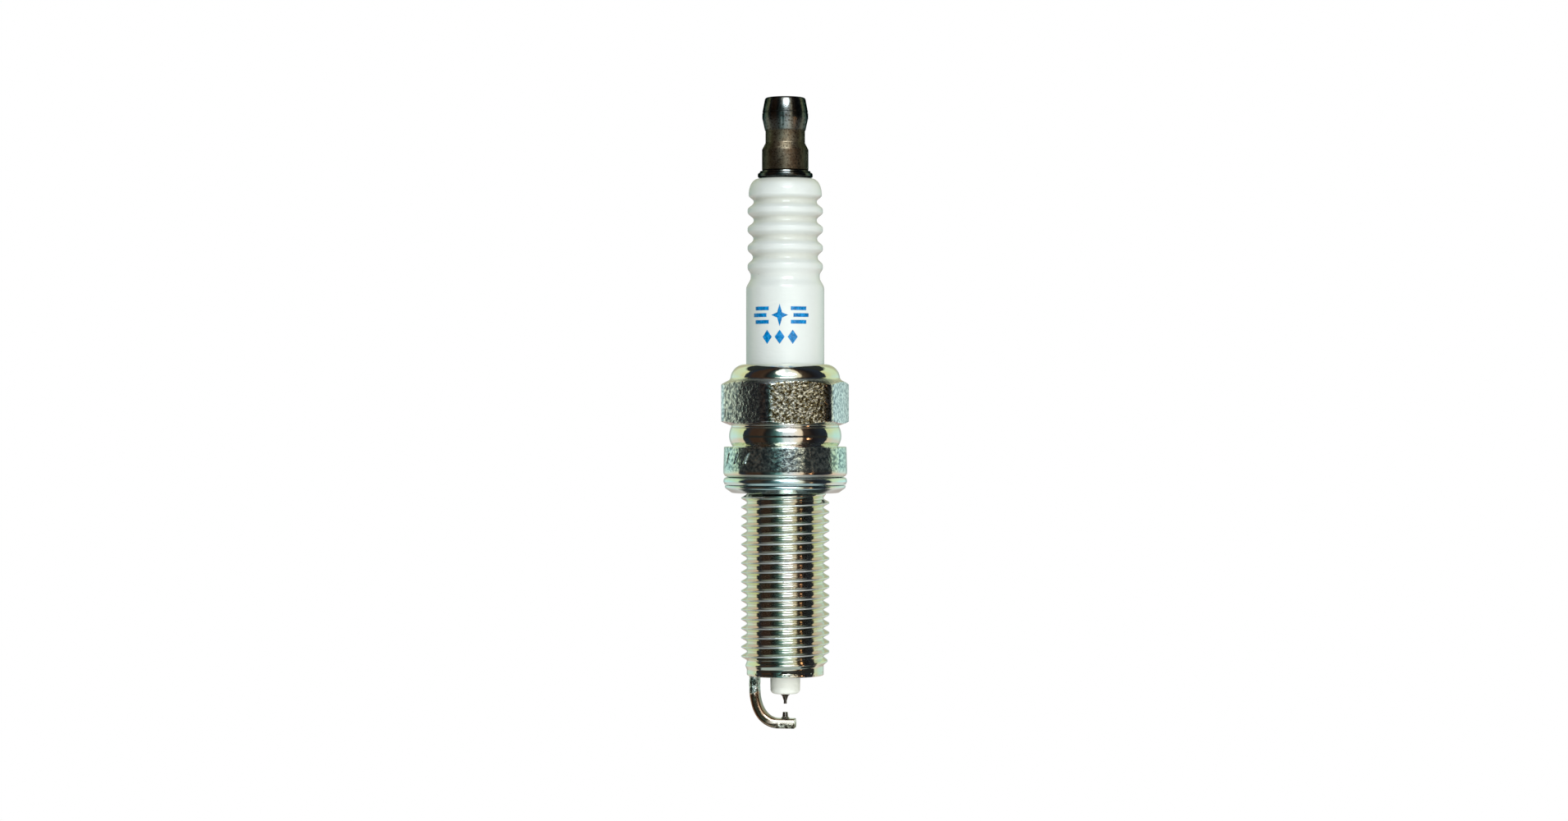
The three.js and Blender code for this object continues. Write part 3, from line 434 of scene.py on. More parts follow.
def nickel_alloy():
    """Warm drawn nickel alloy, with splashes of plating and weld scale near the shell. The arm is
    scuffed below, and a painted highlight runs as a pale band along its upper edge."""
    material, graph = begin("nickel_alloy")
    x, z = graph.coordinate(0), graph.coordinate(2)
    above = graph.math("SUBTRACT", z, BAR_BOTTOM)
    ragged = graph.linear(graph.noise(0.5, detail=3), 1.4, z)
    plated = graph.step(ragged, BAR_TOP - 1.9, BAR_TOP - 1.4)
    bare = graph.mix(graph.noise(1.0, detail=4), (0.56, 0.32, 0.19), (0.84, 0.60, 0.42))
    splash = graph.ramp(graph.noise(0.35, detail=3), [
        (0.36, (0.02, 0.02, 0.02)), (0.44, (0.20, 0.26, 0.22)), (0.54, (0.62, 0.72, 0.66)),
        (0.64, (0.80, 0.80, 0.74))])
    # Painted shade: the bar's edges, where it turns away from the view, are darkened to a deep brown.
    facing = graph.add("ShaderNodeLayerWeight", {"Blend": 0.5}).outputs["Facing"]
    painted_edge_shade = graph.times(graph.step(facing, 0.20, 0.60), 0.75)
    bare = graph.mix(painted_edge_shade, bare, (0.12, 0.09, 0.07))
    worn = graph.times(graph.step(x, -2.4, -0.6), graph.step(above, 0.85, 0.65))
    mottle = graph.ramp(graph.noise(0.45, detail=3), [
        (0.40, (0.04, 0.03, 0.02)), (0.47, (0.35, 0.32, 0.24)), (0.55, (0.86, 0.82, 0.66)),
        (0.68, (1.0, 0.98, 0.86))])
    bare = graph.mix(worn, bare, mottle)
    # Painted highlight: a pale cream band along the arm's upper edge.
    painted_highlight_band = graph.times(graph.step(above, 0.62, 0.82), graph.step(above, 1.22, 1.12))
    bright = graph.times(painted_highlight_band, graph.step(x, -2.8, -1.4))
    bare = graph.mix(bright, bare, (0.96, 0.93, 0.82))
    tint = graph.mix(plated, bare, splash)
    scratch = graph.step(graph.noise(0.5, detail=4, stretch=(1, 1, 0.2)), 0.60, 0.70)
    tint = graph.mix(graph.times(scratch, 0.25), tint, (0.7, 0.66, 0.6))
    rough = graph.linear(graph.noise(0.4, detail=4), 0.12, 0.08)
    rough = graph.linear(plated, 0.12, rough)
    rough = graph.linear(worn, 0.30, rough)
    relief = graph.bump(graph.times(graph.noise(0.30, detail=3), plated), 0.16)
    relief = graph.bump(graph.times(graph.noise(0.5), worn), 0.22, relief)
    relief = graph.bump(graph.noise(0.25, detail=3), 0.008, relief)
    # The painted highlight band is also made less metallic.
    metal = graph.linear(bright, -0.65, 1.0)
    return surface(graph, material, tint, rough, relief, metal, edge=(0.9, 0.95, 0.9))


def flecked(name, dark, light, size, rough, metallic, depth):
    """A plain finish: two shades in patches of a size, with uneven gloss and relief."""
    material, graph = begin(name)
    tint = graph.mix(graph.noise(size, detail=4), dark, light)
    gloss = graph.linear(graph.noise(size / 2, detail=3), 0.2, rough - 0.1)
    relief = graph.bump(graph.noise(size / 3, detail=3), depth)
    return surface(graph, material, tint, gloss, relief, metallic)


PLAIN_FINISHES = {  # dark and light shade, patch size, roughness, metallic, depth of the relief
    "electrode_end": ((0.10, 0.085, 0.07), (0.22, 0.20, 0.17), 0.5, 0.22, 1.0, 0.008),
    "precious_metal": ((0.12, 0.10, 0.085), (0.36, 0.33, 0.30), 0.25, 0.22, 1.0, 0.012),
    "copper": ((0.60, 0.28, 0.16), (0.80, 0.42, 0.27), 0.8, 0.32, 1.0, 0.005),
    "seal_glass": ((0.05, 0.05, 0.055), (0.16, 0.13, 0.10), 0.4, 0.45, 0.2, 0.02),
    "resistor_mix": ((0.015, 0.015, 0.015), (0.06, 0.06, 0.055), 0.3, 0.8, 0.0, 0.03),
    "talc": ((0.62, 0.58, 0.50), (0.78, 0.75, 0.68), 0.3, 0.9, 0.0, 0.03),
    "packing_steel": ((0.34, 0.34, 0.34), (0.56, 0.56, 0.55), 0.5, 0.32, 1.0, 0.006),
}


def make_materials():
    makers = (zinc_plate, gasket_plate, smoky_nickel, glazed_alumina, printing_ink, nickel_alloy)
    materials = {maker.__name__: maker() for maker in makers}
    for name, finish in PLAIN_FINISHES.items():
        materials[name] = flecked(name, *finish)
    return materials


# ---------------------------------------------------------------- mesh helpers

def unit(vectors):
    return vectors / np.linalg.norm(vectors, axis=0)


def rounded(corners, closed=False):
    """Radii and heights of a half section with rounded corners, one row for each point.

    Each corner is (radius, height, fillet). A radius or height may be an array that holds one
    value for each column round the axis.
    """
    columns = max(np.size(value) for corner in corners for value in corner)
    points = np.array([[np.broadcast_to(value, columns) for value in corner[:2]]
                       for corner in corners], float)
    rows = []
    for i, corner in enumerate(corners):
        here, fillet = points[i], corner[2]
        if fillet == 0 or (not closed and i in (0, len(corners) - 1)):
            rows.append(here)
            continue
        back = unit(points[i - 1] - here)
        ahead = unit(points[(i + 1) % len(corners)] - here)
        half = np.arccos((back * ahead).sum(axis=0)) / 2
        centre = here + unit(back + ahead) * fillet / np.sin(half)
        first = unit(here + back * fillet / np.tan(half) - centre)
        last = unit(here + ahead * fillet / np.tan(half) - centre)
        turn = math.pi - 2 * half
        steps = int(np.clip(10 * math.sqrt(fillet), 3, 14))
        for share in np.linspace(0, 1, steps + 1):
            spoke = (np.sin((1 - share) * turn) * first + np.sin(share * turn) * last) / np.sin(turn)
            rows.append(centre + spoke * fillet)
    section = np.array(rows)
    return section[:, 0], section[:, 1]


def arc(centre, height, radius, start, end, steps):
    """Corners along an arc of a half section; the angles are in degrees, 0 outward and 90 up."""
    angles = np.radians(np.linspace(start, end, steps + 1))
    return [(centre + radius * math.cos(a), height + radius * math.sin(a), 0) for a in angles]


def turned(radii, heights, angles):
    """Points of a turned surface, rows by columns, from radii and heights in millimetres."""
    radii, heights, angles = np.broadcast_arrays(radii, heights, angles)
    return np.stack([radii * np.cos(angles), radii * np.sin(angles), heights], axis=-1)


def quads(index):
    """Faces between neighbouring rows and columns of a table of vertex numbers."""
    corners = [index[:-1, :-1], index[:-1, 1:], index[1:, 1:], index[1:, :-1]]
    return np.stack(corners, axis=-1).reshape(-1, 4)


def wrapped(points, closed=False, climb=0):
    """A block of points and faces, closed round the axis.

    closed joins the last row to the first. climb is for a thread: a row's end meets the row that
    many places on, which starts where it ends.
    """
    rows, columns = points.shape[:2]
    index = np.arange(rows * columns).reshape(rows, columns)
    ahead = np.minimum(np.arange(rows) + climb, rows - 1)
    index = np.hstack([index, index[ahead, :1]])
    if closed:
        index = np.vstack([index, index[:1]])
    return points.reshape(-1, 3), quads(index)


def even_angles(columns):
    """Angles of columns evenly round the axis, in radians, from the seam at the back."""
    return np.radians(BACK + np.arange(columns) * 360 / columns)


def turn_from(azimuth, degrees):
    """How far round from an azimuth, from -180 to 180 degrees."""
    return (degrees - azimuth + 180) % 360 - 180


def make_piece(name, blocks, body, material, node, slot):
    """Joins blocks of points (mm) and faces into one closed, smooth mesh that rides on a body."""
    points, faces, count = [], [], 0
    for block_points, block_faces in blocks:
        points.append(block_points)
        faces.append(block_faces + count)
        count += len(block_points)
    mesh = bpy.data.meshes.new(name)
    mesh.from_pydata((np.vstack(points) * MM).tolist(), [], np.vstack(faces).tolist())
    welded = bmesh.new()
    welded.from_mesh(mesh)
    bmesh.ops.remove_doubles(welded, verts=welded.verts, dist=2e-7)
    bmesh.ops.dissolve_degenerate(welded, edges=welded.edges, dist=1e-8)
    loose = [vertex for vertex in welded.verts if not vertex.link_faces]
    bmesh.ops.delete(welded, geom=loose, context="VERTS")
    bmesh.ops.recalc_face_normals(welded, faces=welded.faces)
    welded.to_mesh(mesh)
    welded.free()
    mesh.shade_smooth()
    mesh.materials.append(material)
    piece = bpy.data.objects.new(name, mesh)
    bpy.context.scene.collection.objects.link(piece)
    piece.modifiers.new("even_shading", "WEIGHTED_NORMAL").weight = 60
    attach(piece, body)
    if node:
        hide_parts(node)
    return piece


def make_turned_piece(name, corners, columns, *where, closed=False):
    """A piece of one plain turned section; where is what make_piece takes after the blocks."""
    radii, heights = rounded(corners, closed)
    points = turned(radii, heights, even_angles(columns))
    return make_piece(name, [wrapped(points, closed)], *where)


def coordinates(piece):
    flat = np.zeros(len(piece.data.vertices) * 3)
    piece.data.vertices.foreach_get("co", flat)
    return flat.reshape(-1, 3) / MM


def set_coordinates(piece, points):
    piece.data.vertices.foreach_set("co", (points * MM).astype(np.float32).ravel())
    piece.data.update()


def store(piece, name, values):
    """Keeps one number for each vertex, for the material."""
    attribute = piece.data.attributes.new(name, "FLOAT", "POINT")
    attribute.data.foreach_set("value", values.astype(np.float32))


def lumps(points, size, depth, seed):
    """A smooth random push of up to about that depth at each point."""
    shift = Vector((seed * 7.1, seed * 3.7, seed * 1.3))
    return np.array([depth * noise.noise(Vector(point) / size + shift) for point in points])


def ease(share):
    """Goes from 0 to 1 with flat ends, a little early, so that ribs have flat tops."""
    t = np.minimum(1, 1.08 * share)
    return t ** 3 * (t * (6 * t - 15) + 10)


# ---------------------------------------------------------------- threads

def thread_rows(turn, ridge, start, pitch, coils, root, grow, sink):
    """Rows of a screw thread's surface that climb one pitch as they go round.

    turn says how far round from the seam each column is, from 0 to 1. ridge lists, for one pitch
    from root to root, the height from the crest's middle and the radius. The crest grows out of
    the root at the bottom and sinks back into it at the top, each over a number of turns.
    """
    offsets, radii = np.array(ridge).T
    count = len(offsets)
    row = np.arange(count * (coils + 2) + 1)[:, None]
    travelled = row // count - 1 + turn[None, :]
    grown = np.clip(np.minimum(travelled / grow, (coils - travelled) / sink), 0, 1)
    bottom = start - pitch / 2
    top = bottom + (coils + 1) * pitch
    heights = np.clip(start + pitch * travelled + offsets[row % count], bottom, top)
    return root + (radii[row % count] - root) * grown, heights, bottom, top


def ridge_section(pitch, root, crest, flat, blend, offsets, fold):
    """Radius at each offset across one ridge: 60 degree flanks, softened over a blend width."""
    def sharp(offset):
        from_crest = np.abs((offset + pitch / 2) % pitch - pitch / 2)
        return np.clip(crest - (from_crest - flat / 2) / math.tan(math.radians(30)), root, crest)

    spread = np.linspace(-blend, blend, 9)
    section = [(offset, float(np.mean(sharp(offset + spread)))) for offset in offsets]
    return [(offset, radius - fold if offset == 0 else radius) for offset, radius in section]


# ---------------------------------------------------------------- shell

THREAD_ROOT = 5.175
THREAD_CREST = 5.95
THREAD_PITCH = 1.25
THREAD_START = -23.52
THREAD_COILS = 19
HEX_INRADIUS = 15.85 / 2
HEX_ROUNDING = 2.3
HEX_TURN = 13.5
HEX_BOTTOM, HEX_TOP = 9.1, 15.2
HEX_FACE = 7.45
COLLAR_RADIUS = 8.33
STAMPS = (-157.0, -142.0, -128.0)  # azimuths of the three slanted notches in the collar

# The hexagon's rounded corners: where their centres are, and where the flats end, in degrees.
ROUNDING_CENTRE = (HEX_INRADIUS - HEX_ROUNDING) / math.cos(math.radians(30))
HEX_CORNER = ROUNDING_CENTRE + HEX_ROUNDING
HALF_FLAT = math.degrees(math.atan(
    (HEX_INRADIUS - HEX_ROUNDING) / HEX_INRADIUS * math.tan(math.radians(30))))


def shell_angles():
    """Columns round the shell, dense at the hexagon's corners and round the stamped notches."""
    wanted = [0.0]
    wanted += list(np.arange(STAMPS[0] - 4, STAMPS[-1] + 4, 0.5) - BACK)
    for side in range(6):
        flat = FRONT + HEX_TURN + side * 60 - BACK
        wanted += list(np.linspace(flat + HALF_FLAT, flat + 60 - HALF_FLAT, 10))
        wanted += list(np.linspace(flat - HALF_FLAT, flat + HALF_FLAT, 13)[1:-1])
    kept = []
    for angle in wanted:
        angle = angle % 360
        if all(min(abs(angle - other), 360 - abs(angle - other)) > 0.35 for other in kept):
            kept.append(angle)
    return np.sort(kept)


def hexagon_radius(degrees):
    """Radius of the hexagon with rounded corners; the flats are very slightly crowned."""
    from_flat = (degrees - FRONT - HEX_TURN + 30) % 60 - 30
    crown = 0.11 * np.clip(1 - (from_flat / HALF_FLAT) ** 2, 0, 1) - 0.03
    flat = (HEX_INRADIUS + crown) / np.cos(np.radians(from_flat))
    from_corner = np.radians(30 - np.abs(from_flat))
    reach = np.clip(HEX_ROUNDING ** 2 - (ROUNDING_CENTRE * np.sin(from_corner)) ** 2, 0, None)
    corner = ROUNDING_CENTRE * np.cos(from_corner) + np.sqrt(reach) - 0.03
    return np.where(np.abs(from_flat) < HALF_FLAT, flat, corner)


def shell_head(degrees):
    """From the crimped lip down to the top of the thread."""
    radius = hexagon_radius(degrees)
    reach = (radius - HEX_FACE) / (HEX_CORNER - HEX_FACE)
    top_edge = HEX_TOP - 0.7 * reach
    bottom_edge = HEX_BOTTOM + 0.5 * reach
    lip = 5.31 + 0.03 * np.array([noise.noise(Vector((a / 5, 0, 3))) for a in degrees])
    flat_rows = [(radius, bottom_edge + (top_edge - bottom_edge) * share, 0)
                 for share in np.linspace(0.97, 0.03, 8)]
    ring_upper, ring_lower, ring_middle, ring_radius = 3.0, 2.3, 7.62, 7.55
    crimp = CRIMP_TOP - HEX_TOP - 0.1
    collar_rows = [(COLLAR_RADIUS - 0.09 * share, height, 0)
                   for height, share in zip(np.linspace(5.9, 3.2, 27), np.linspace(0.95, 0.1, 27))]
    corners = [
        (lip, 16.6, 0.05),
        (lip, CRIMP_TOP, 0.05),
        *arc(7.37 - crimp, CRIMP_TOP - crimp, crimp, 89, 6, 15),
        (7.37, HEX_TOP + 0.22, 0.15),
        (HEX_FACE + 0.08, HEX_TOP - 0.04, 0),
        (radius, top_edge, 0.09),
        *flat_rows,
        (radius, bottom_edge, 0.07),
        (HEX_FACE, HEX_BOTTOM, 0.04),
        (7.28, HEX_BOTTOM - 0.04, 0.03),
        (7.26, 8.84, 0.02),
        *arc(ring_radius - ring_upper, ring_middle, ring_upper, 23, 0, 7),
        *arc(ring_radius - ring_lower, ring_middle, ring_lower, -4, -34, 8),
        (7.1, 6.27, 0.03),
        (7.2, 6.2, 0.03),
        (COLLAR_RADIUS - 0.09, 6.2, 0.12),
        *collar_rows,
        (COLLAR_RADIUS, 2.14, 0.62),
        (7.0, 2.14, 0),
        (5.35, 2.14, 0.08),
        (5.35, 1.15, 0.05),
        (THREAD_ROOT, 0.955, 0),
    ]
    return rounded(corners)


def shell_end_and_bore():
    """From the bottom of the thread round the open end and up the stepped bore to the lip."""
    bottom = THREAD_START - THREAD_PITCH / 2
    return rounded([
        (THREAD_ROOT, bottom, 0),
        (THREAD_ROOT, SHELL_END, 0.14),
        (3.4, SHELL_END, 0.12),
        (3.4, -11.35, 0),
        (3.15, -10.95, 0),
        (3.15, -9.75, 0),
        (4.0, -9.0, 0),
        (4.0, 2.15, 0),
        (6.45, 4.6, 0),
        (6.45, 15.9, 0),
        (6.3, 16.2, 0),
    ])


def stamp_notches(radii, heights, degrees):
    """Presses three slanted strokes, with slightly raised sides, into the collar's wall."""
    middle, half_height, half_width, lean = 4.7, 0.66, 0.12, 0.5
    for azimuth in STAMPS:
        along = (heights - middle) / half_height
        inside = np.clip((1.15 - np.abs(along)) / 0.3, 0, 1)
        arc_length = np.radians(turn_from(azimuth, degrees)) * COLLAR_RADIUS
        distance = np.abs(arc_length - lean * along * half_height) / half_width
        groove = np.clip(1.3 - distance, 0, 1) * 0.22
        burr = np.exp(-((distance - 2.0) / 0.6) ** 2) * 0.035
        on_wall = radii > COLLAR_RADIUS - 0.15
        radii = radii + np.where(on_wall, (burr - groove) * inside, 0)
    return radii


def make_shell(materials):
    turns = shell_angles() / 360
    degrees = turns * 360 + BACK
    angles = np.radians(degrees)
    head_radii, head_heights = shell_head(degrees)
    head_radii = stamp_notches(head_radii, head_heights, degrees)
    offsets = [-0.625, -0.55, -0.49, -0.42, -0.17, -0.12, -0.07, 0, 0.07, 0.12, 0.17, 0.42, 0.49, 0.55]
    ridge = ridge_section(THREAD_PITCH, THREAD_ROOT, THREAD_CREST, 0.156, 0.05, offsets, 0.035)
    radii, heights, bottom, top = thread_rows(
        turns, ridge, THREAD_START, THREAD_PITCH, THREAD_COILS, THREAD_ROOT, 1.1, 0.6)
    head_heights[-1] = top
    end_radii, end_heights = shell_end_and_bore()
    end_points = turned(end_radii, end_heights, angles)
    end_points = np.concatenate([end_points, turned(head_radii[:1], head_heights[:1], angles)])
    shell = make_piece("plated_shell", [
        wrapped(turned(head_radii, head_heights, angles)),
        wrapped(turned(radii, heights, angles), climb=len(offsets)),
        wrapped(end_points),
    ], "plug_body", materials["zinc_plate"], "shell", "zinc_plate")
    points = coordinates(shell)
    radius, height = np.hypot(points[:, 0], points[:, 1]), points[:, 2]
    on_hexagon = (radius > HEX_FACE + 0.3) & (height > HEX_BOTTOM) & (height < HEX_TOP)
    on_collar = (radius > 8.1) & (height < 6.3) & (height > 2.9)
    azimuth = np.degrees(np.arctan2(points[:, 1], points[:, 0]))
    on_band = (height > HEX_BOTTOM - 0.05) & (height < HEX_TOP + 0.05)
    on_chamfer = on_band & (radius > HEX_FACE - 0.05) & (radius < hexagon_radius(azimuth) - 0.06)
    on_front_face = np.abs(turn_from(FRONT + HEX_TURN, azimuth)) < 29
    collar_foot = (height < 2.62) & (height > 2.1) & (radius > 7)
    store(shell, "grain", on_hexagon & ~on_chamfer | on_collar)
    store(shell, "collar", on_collar)
    store(shell, "crest", (radius > THREAD_CREST - 0.05) & (height < 1))
    # Marks the hexagon face towards -Y for the material's painted golden reflection.
    store(shell, "painted_gold_reflection", on_hexagon & ~on_chamfer & on_front_face)
    store(shell, "end_ring", (height < -24.0) & (radius > 5))
    store(shell, "turned_face", on_chamfer | collar_foot)
    return shell


# ---------------------------------------------------------------- insulator and its mark

def rib_outline(steps):
    """The eased curve between each rib and groove, from the crown down to the barrel."""
    first_groove, groove_pitch, rib_radius = 39.1, 2.49, 5.065
    turning = [(CROWN_HEIGHT, CROWN_RADIUS)]
    for i, groove_radius in enumerate((4.25, 4.25, 4.3, 4.37, 4.64)):
        height = first_groove - i * groove_pitch
        turning.append((height, groove_radius))
        turning.append((height - groove_pitch / 2, rib_radius))
    turning[-1] = (BARREL_TOP, BARREL_RADIUS)
    outline = []
    for (from_height, from_radius), (to_height, to_radius) in zip(turning, turning[1:]):
        for share in np.linspace(0, 1, steps + 1)[1:]:
            rise = ease(share) if from_radius < to_radius else 1 - ease(1 - share)
            height = from_height + (to_height - from_height) * share
            outline.append((from_radius + (to_radius - from_radius) * rise, height, 0))
    return outline


def make_insulator(materials):
    flat = 3.62
    crown = [(flat + (CROWN_RADIUS - flat) * math.cos(angle),
              CROWN_HEIGHT + (INSULATOR_TOP - CROWN_HEIGHT) * math.sin(angle), 0)
             for angle in np.radians(np.linspace(90, 0, 15))]
    barrel = [(BARREL_RADIUS, height, 0) for height in np.linspace(26, 11, 12)]
    return make_turned_piece("glazed_insulator", [
        (2.0, INSULATOR_TOP, 0.15),
        *crown,
        *rib_outline(14),
        *barrel,
        (BARREL_RADIUS, 10.6, 0.1),
        (6.2, 9.9, 0.1),
        (6.2, 4.9, 0.1),
        (3.75, 2.45, 0.3),
        (3.75, -8.67, 0.2),
        (2.95, -9.37, 0.3),
        (2.035, -23.5, 0),
        (1.985, NOSE_END, 0.6),
        (1.25, NOSE_END, 0.1),
        (1.25, -8.35, 0.1),
        (2.0, -7.6, 0.1),
    ], 160, "plug_body", materials["glazed_alumina"], "insulator", "glazed_alumina", closed=True)


INK_THICKNESS = 0.012


def on_barrel(along, height, lift):
    """Points on the barrel, from the length round from the front and the height, in millimetres."""
    angles = math.radians(FRONT) + np.asarray(along) / BARREL_RADIUS
    return turned(BARREL_RADIUS + lift, np.asarray(height), angles)


def ink_patch(corners, centre):
    """A thin printed patch that fills a polygon round its centre."""
    corners = np.array(corners, float) + centre
    shares = np.linspace(0, 1, 12, endpoint=False)
    sides = zip(corners, np.roll(corners, -1, axis=0))
    loop = np.array([start + (end - start) * share for start, end in sides for share in shares])
    rows = []
    for scale, lift in [(0, -1), (0.5, -1), (1, -1), (1, 1), (0.9, 1), (0.6, 1), (0.3, 1), (0, 1)]:
        ring = centre + (loop - centre) * scale
        rows.append(on_barrel(ring[:, 0], ring[:, 1], lift * INK_THICKNESS))
    return wrapped(np.stack(rows))


def make_mark(materials):
    """A generic printed mark: a spark between short lines, over three lozenges."""
    middle, waist = -0.75, 0.34
    star = [(1.15, 0), (waist, waist), (0, 1.5), (-waist, waist),
            (-1.15, 0), (-waist, -waist), (0, -1.5), (waist, -waist)]
    line = [(-1.1, -0.25), (1.1, -0.25), (1.1, 0.25), (-1.1, 0.25)]
    lozenge = [(0.68, 0), (0, 0.95), (-0.68, 0), (0, -0.95)]
    blocks = [ink_patch(star, (middle, 23.75))]
    for height, shift in ((24.65, 0.0), (23.75, 0.35), (22.85, 0.0)):
        blocks += [ink_patch(line, (middle + side * (2.6 + shift), height)) for side in (-1, 1)]
    blocks += [ink_patch(lozenge, (middle + side * 1.75, 20.85)) for side in (-1, 0, 1)]
    return make_piece("printed_mark", blocks, "plug_body", materials["printing_ink"], None,
                      "glazed_alumina")


# ---------------------------------------------------------------- terminal

def make_terminal_nut(materials):
    bore, bore_end = 2.1, 51.3
    radii, heights = rounded([
        (0, bore_end + 0.8, 0),
        (1.7, bore_end, 0.05),
        (bore, bore_end - 0.1, 0.05),
        (bore, NUT_BOTTOM, 0.1),
        (3.125, NUT_BOTTOM, 0.14),
        (3.125, NUT_FOOT_TOP, 0.28),
        (2.655, 47.0, 0.32),
        (2.655, NUT_NECK_TOP - 0.04, 0.04),
        (2.73, NUT_NECK_TOP, 0.04),
        (2.905, 49.5, 0.5),
        (3.09, 50.32, 0.25),
        (3.09, 50.98, 0.03),
        (3.00, 51.02, 0.02),
        (3.00, 51.10, 0.02),
        (3.07, 51.14, 0.03),
        (2.70, NUT_TOP, 0.34),
        (1.2, NUT_TOP, 0),
        (0, NUT_TOP, 0),
    ])
    angles = even_angles(144)
    seam = np.abs(turn_from(FRONT - 7, np.degrees(angles))) < 1.3
    on_taper = (heights > 48.9) & (heights < 50.4) & (radii > 2.6)
    radii = radii - np.where(on_taper & seam, 0.035, 0)
    return make_piece("smoked_terminal_nut", [wrapped(turned(radii, heights, angles))],
                      "terminal_nut_body", materials["smoky_nickel"], "terminal_nut", "smoky_nickel")


def make_terminal_stud(materials):
    root, crest, pitch, start, coils = 1.6, 1.95, 0.7, 43.7, 9
    columns = 96
    turns, angles = np.arange(columns) / columns, even_angles(columns)
    offsets = [-0.35, -0.29, -0.23, -0.06, 0, 0.06, 0.23, 0.29]
    ridge = ridge_section(pitch, root, crest, 0.1, 0.03, offsets, 0.0)
    thread_radii, thread_heights, bottom, top = thread_rows(
        turns, ridge, start, pitch, coils, root, 0.5, 0.5)
    lower_radii, lower_heights = rounded([
        (0, STUD_BOTTOM, 0),
        (1.4, STUD_BOTTOM, 0.1),
        (1.5, 9.6, 0),
        (1.6, 9.8, 0),
        (1.6, 42.3, 0.02),
        (3.4, 42.3, 0.05),
        (3.7, 42.42, 0.12),
        (3.7, 42.92, 0.22),
        (3.42, 43.0, 0.05),
        (3.4, FLANGE_TOP, 0.05),
        (1.7, FLANGE_TOP, 0.03),
        (root, bottom, 0),
    ])
    upper_radii, upper_heights = rounded([
        (root, top, 0),
        (root, STUD_TOP - 0.25, 0.05),
        (root - 0.25, STUD_TOP, 0.05),
        (0, STUD_TOP, 0),
    ])
    return make_piece("smoked_terminal_stud", [
        wrapped(turned(lower_radii, lower_heights, angles)),
        wrapped(turned(thread_radii, thread_heights, angles), climb=len(offsets)),
        wrapped(turned(upper_radii, upper_heights, angles)),
    ], "plug_body", materials["smoky_nickel"], "terminal_stud", "smoky_nickel")


# ---------------------------------------------------------------- gasket

def make_gasket(materials):
    """Sheet folded to an S, with its outer edge turned down over the lower fold."""
    low, high = GASKET_BOTTOM, GASKET_TOP
    return make_turned_piece("folded_gasket", [
        (6.15, low, 0.05),
        (7.20, low, 0.45),
        (8.13, low + 0.66, 0.40),
        (8.13, low + 1.03, 0.16),
        (6.06, low + 1.03, 0.15),
        (6.06, high - 0.38, 0.15),
        (7.80, high - 0.38, 0.10),
        (7.93, low + 1.16, 0.03),
        (8.14, low + 1.11, 0.05),
        (8.33, low + 1.50, 0.30),
        (8.24, high, 0.42),
        (5.68, high, 0.45),
        (5.68, low + 0.62, 0.40),
        (7.44, low + 0.62, 0.08),
        (7.55, low + 0.40, 0.06),
        (6.15, low + 0.40, 0.05),
    ], 160, "gasket_body", materials["gasket_plate"], "gasket", "gasket_plate", closed=True)


# ---------------------------------------------------------------- firing end

def make_centre_electrode(materials):
    """Hollow above, for its copper core."""
    cup = 0.65
    return make_turned_piece("coned_centre_electrode", [
        (0, -24.95, 0),
        (cup, -24.95, 0.05),
        (cup, ELECTRODE_TOP, 0.05),
        (0.9, ELECTRODE_TOP, 0.05),
        (0.9, -6.6, 0.05),
        (1.7, -6.6, 0.1),
        (1.7, -7.3, 0.1),
        (1.1, -8.0, 0.1),
        (1.1, -26.75, 0.25),
        (0.42, -27.3, 0.35),
        (0.32, -27.6, 0.3),
        (0.25, ELECTRODE_END, 0.03),
        (0, ELECTRODE_END, 0),
    ], 64, "plug_body", materials["electrode_end"], "centre_electrode", "nickel_alloy")


def make_tip(materials):
    return make_turned_piece("fine_wire_tip", [
        (0, TIP_END, 0),
        (0.215, TIP_END, 0.03),
        (0.205, TIP_TOP - 0.12, 0.1),
        (0.22, TIP_TOP, 0.01),
        (0, TIP_TOP, 0),
    ], 48, "plug_body", materials["precious_metal"], "centre_electrode_tip", "precious_metal")


def make_pad(materials):
    """A short wire end with the lumpy flare of its weld."""
    pad = make_turned_piece("welded_pad", [
        (0, PAD_FOOT, 0),
        (0.62, PAD_FOOT, 0.02),
        (0.50, PAD_FOOT + 0.10, 0.05),
        (0.38, PAD_FOOT + 0.24, 0.12),
        (0.335, PAD_TOP, 0.03),
        (0, PAD_TOP, 0),
    ], 64, "plug_body", materials["precious_metal"], "ground_electrode_pad", "precious_metal")
    points = coordinates(pad)
    radius = np.hypot(points[:, 0], points[:, 1])
    push = lumps(points, 0.16, 0.05, 2) * np.clip((PAD_TOP - 0.15 - points[:, 2]) / 0.3, 0, 1)
    grown = 1 + np.divide(push, radius, out=np.zeros_like(push), where=radius > 0.1)
    points[:, :2] *= grown[:, None]
    set_coordinates(pad, points)
    return pad


BAR_HALF_WIDTH = 1.1
BAR_HALF_THICKNESS = 0.65


def bar_path(count):
    """Places and directions along the bar's middle line, in the XZ plane: leg, bend and arm."""
    leg, arm = -(4.79 - BAR_HALF_THICKNESS), BAR_BOTTOM + BAR_HALF_THICKNESS
    bend_start, bend_end, tip, fullness = -26.2, -0.8, 1.35, 0.62
    t = np.linspace(0, 1, count)[:, None]
    start, end = np.array([leg, bend_start]), np.array([bend_end, arm])
    below = start + np.array([0, (arm - bend_start) * fullness])
    before = end + np.array([(leg - bend_end) * fullness, 0])
    bend = ((1 - t) ** 3 * start + 3 * (1 - t) ** 2 * t * below
            + 3 * (1 - t) * t ** 2 * before + t ** 3 * end)
    down = np.linspace((leg, BAR_TOP + 0.05), start, 14)[:-1]
    along = np.linspace(end, (tip, arm), 24)[1:]
    places = np.vstack([down, bend, along])
    directions = np.gradient(places, axis=0)
    return places, directions / np.linalg.norm(directions, axis=1)[:, None]


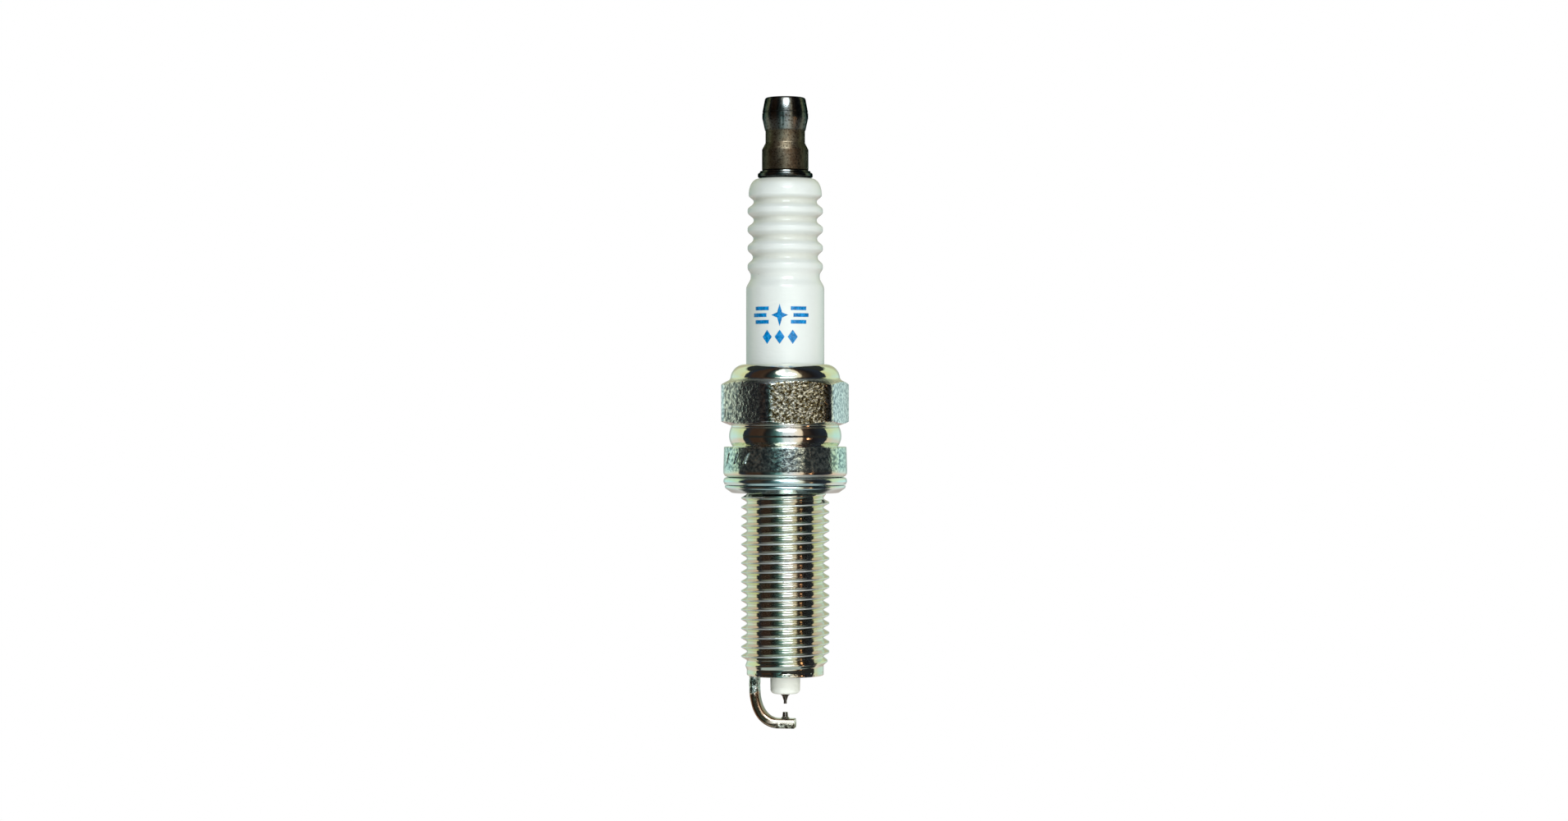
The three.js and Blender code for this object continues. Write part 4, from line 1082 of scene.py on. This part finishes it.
def rounded_rectangle(half_across, half_through, radius, steps):
    """Points round a rectangle with rounded corners and very slightly bulging sides."""
    loop = []
    for quarter in range(4):
        across = 1 if quarter in (0, 3) else -1
        through = 1 if quarter in (0, 1) else -1
        for share in np.linspace(0, 1, steps + 1):
            angle = math.radians(90 * (quarter + share))
            loop.append((across * (half_across - radius) + radius * math.cos(angle),
                         through * (half_through - radius) + radius * math.sin(angle)))
        if quarter in (0, 2):
            loop += [(across * (half_across - radius) * share, through * half_through * 1.01)
                     for share in (0.6, 0.2, -0.2, -0.6)]
        else:
            loop += [(across * half_across * 1.01, through * (half_through - radius) * share)
                     for share in (0.4, -0.4)]
    return np.array(loop)


def make_ground_electrode(materials):
    """A flat bar swept along its path; lumpy where it is welded on, its sheared tip slightly eased."""
    section = rounded_rectangle(BAR_HALF_WIDTH, BAR_HALF_THICKNESS, 0.46, 7)
    places, directions = bar_path(46)
    eased = 0.09
    share = np.clip(np.linalg.norm(places - places[-1], axis=1) / eased, 0, 1)
    scales = 0.90 + 0.10 * np.sqrt(1 - (1 - share) ** 2)
    scales *= 1 + 0.07 * np.exp(-((places[0, 1] - places[:, 1]) / 0.35) ** 2)
    rows = []
    for place, direction, scale in zip(places, directions, scales):
        across, through = section.T * scale
        rows.append(np.stack([place[0] + through * direction[1], across,
                              place[1] - through * direction[0]], axis=-1))

    def drawn_in(row, shares):
        middle = row.mean(axis=0)
        return [middle + (row - middle) * share for share in shares]

    points = np.stack(drawn_in(rows[0], (0, 0.5)) + rows + drawn_in(rows[-1], (0.8, 0.4, 0)))
    turn = math.radians(-9)
    x, y = points[..., 0].copy(), points[..., 1].copy()
    points[..., 0] = x * math.cos(turn) - y * math.sin(turn)
    points[..., 1] = x * math.sin(turn) + y * math.cos(turn)
    bar = make_piece("bent_ground_electrode", [wrapped(points)], "plug_body",
                     materials["nickel_alloy"], "ground_electrode", "nickel_alloy")
    normals = np.zeros(len(bar.data.vertices) * 3)
    bar.data.vertices.foreach_get("normal", normals)
    points = coordinates(bar)
    height = points[:, 2]
    near_weld = np.clip((height - (BAR_TOP - 2.2)) / 0.8, 0, 1) * (height < BAR_TOP - 0.05)
    push = lumps(points, 0.5, 0.07, 5) * near_weld + lumps(points, 0.9, 0.015, 6)
    set_coordinates(bar, points + normals.reshape(-1, 3) * push[:, None])
    return bar


# ---------------------------------------------------------------- assembly

def finish_hidden_nodes(materials):
    """The inner pieces keep their CAD shapes and take finishes of their own."""
    finishes = {
        "upper_glass_seal": "seal_glass",
        "lower_glass_seal": "seal_glass",
        "resistor_element": "resistor_mix",
        "centre_electrode_core": "copper",
        "seat_packing": "packing_steel",
        "lower_packing_ring": "packing_steel",
        "upper_packing_ring": "packing_steel",
        "talc_filling": "talc",
    }
    for node, finish in finishes.items():
        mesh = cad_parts[node].data
        mesh.materials.clear()
        mesh.materials.append(materials[finish])


def main():
    bpy.context.scene.view_settings.view_transform = "Standard"
    make_camera()
    make_studio()
    make_soft_lights()
    make_floor()
    materials = make_materials()
    for make in (make_shell, make_insulator, make_mark, make_terminal_nut, make_terminal_stud,
                 make_gasket, make_centre_electrode, make_tip, make_pad, make_ground_electrode):
        make(materials)
    finish_hidden_nodes(materials)


main()
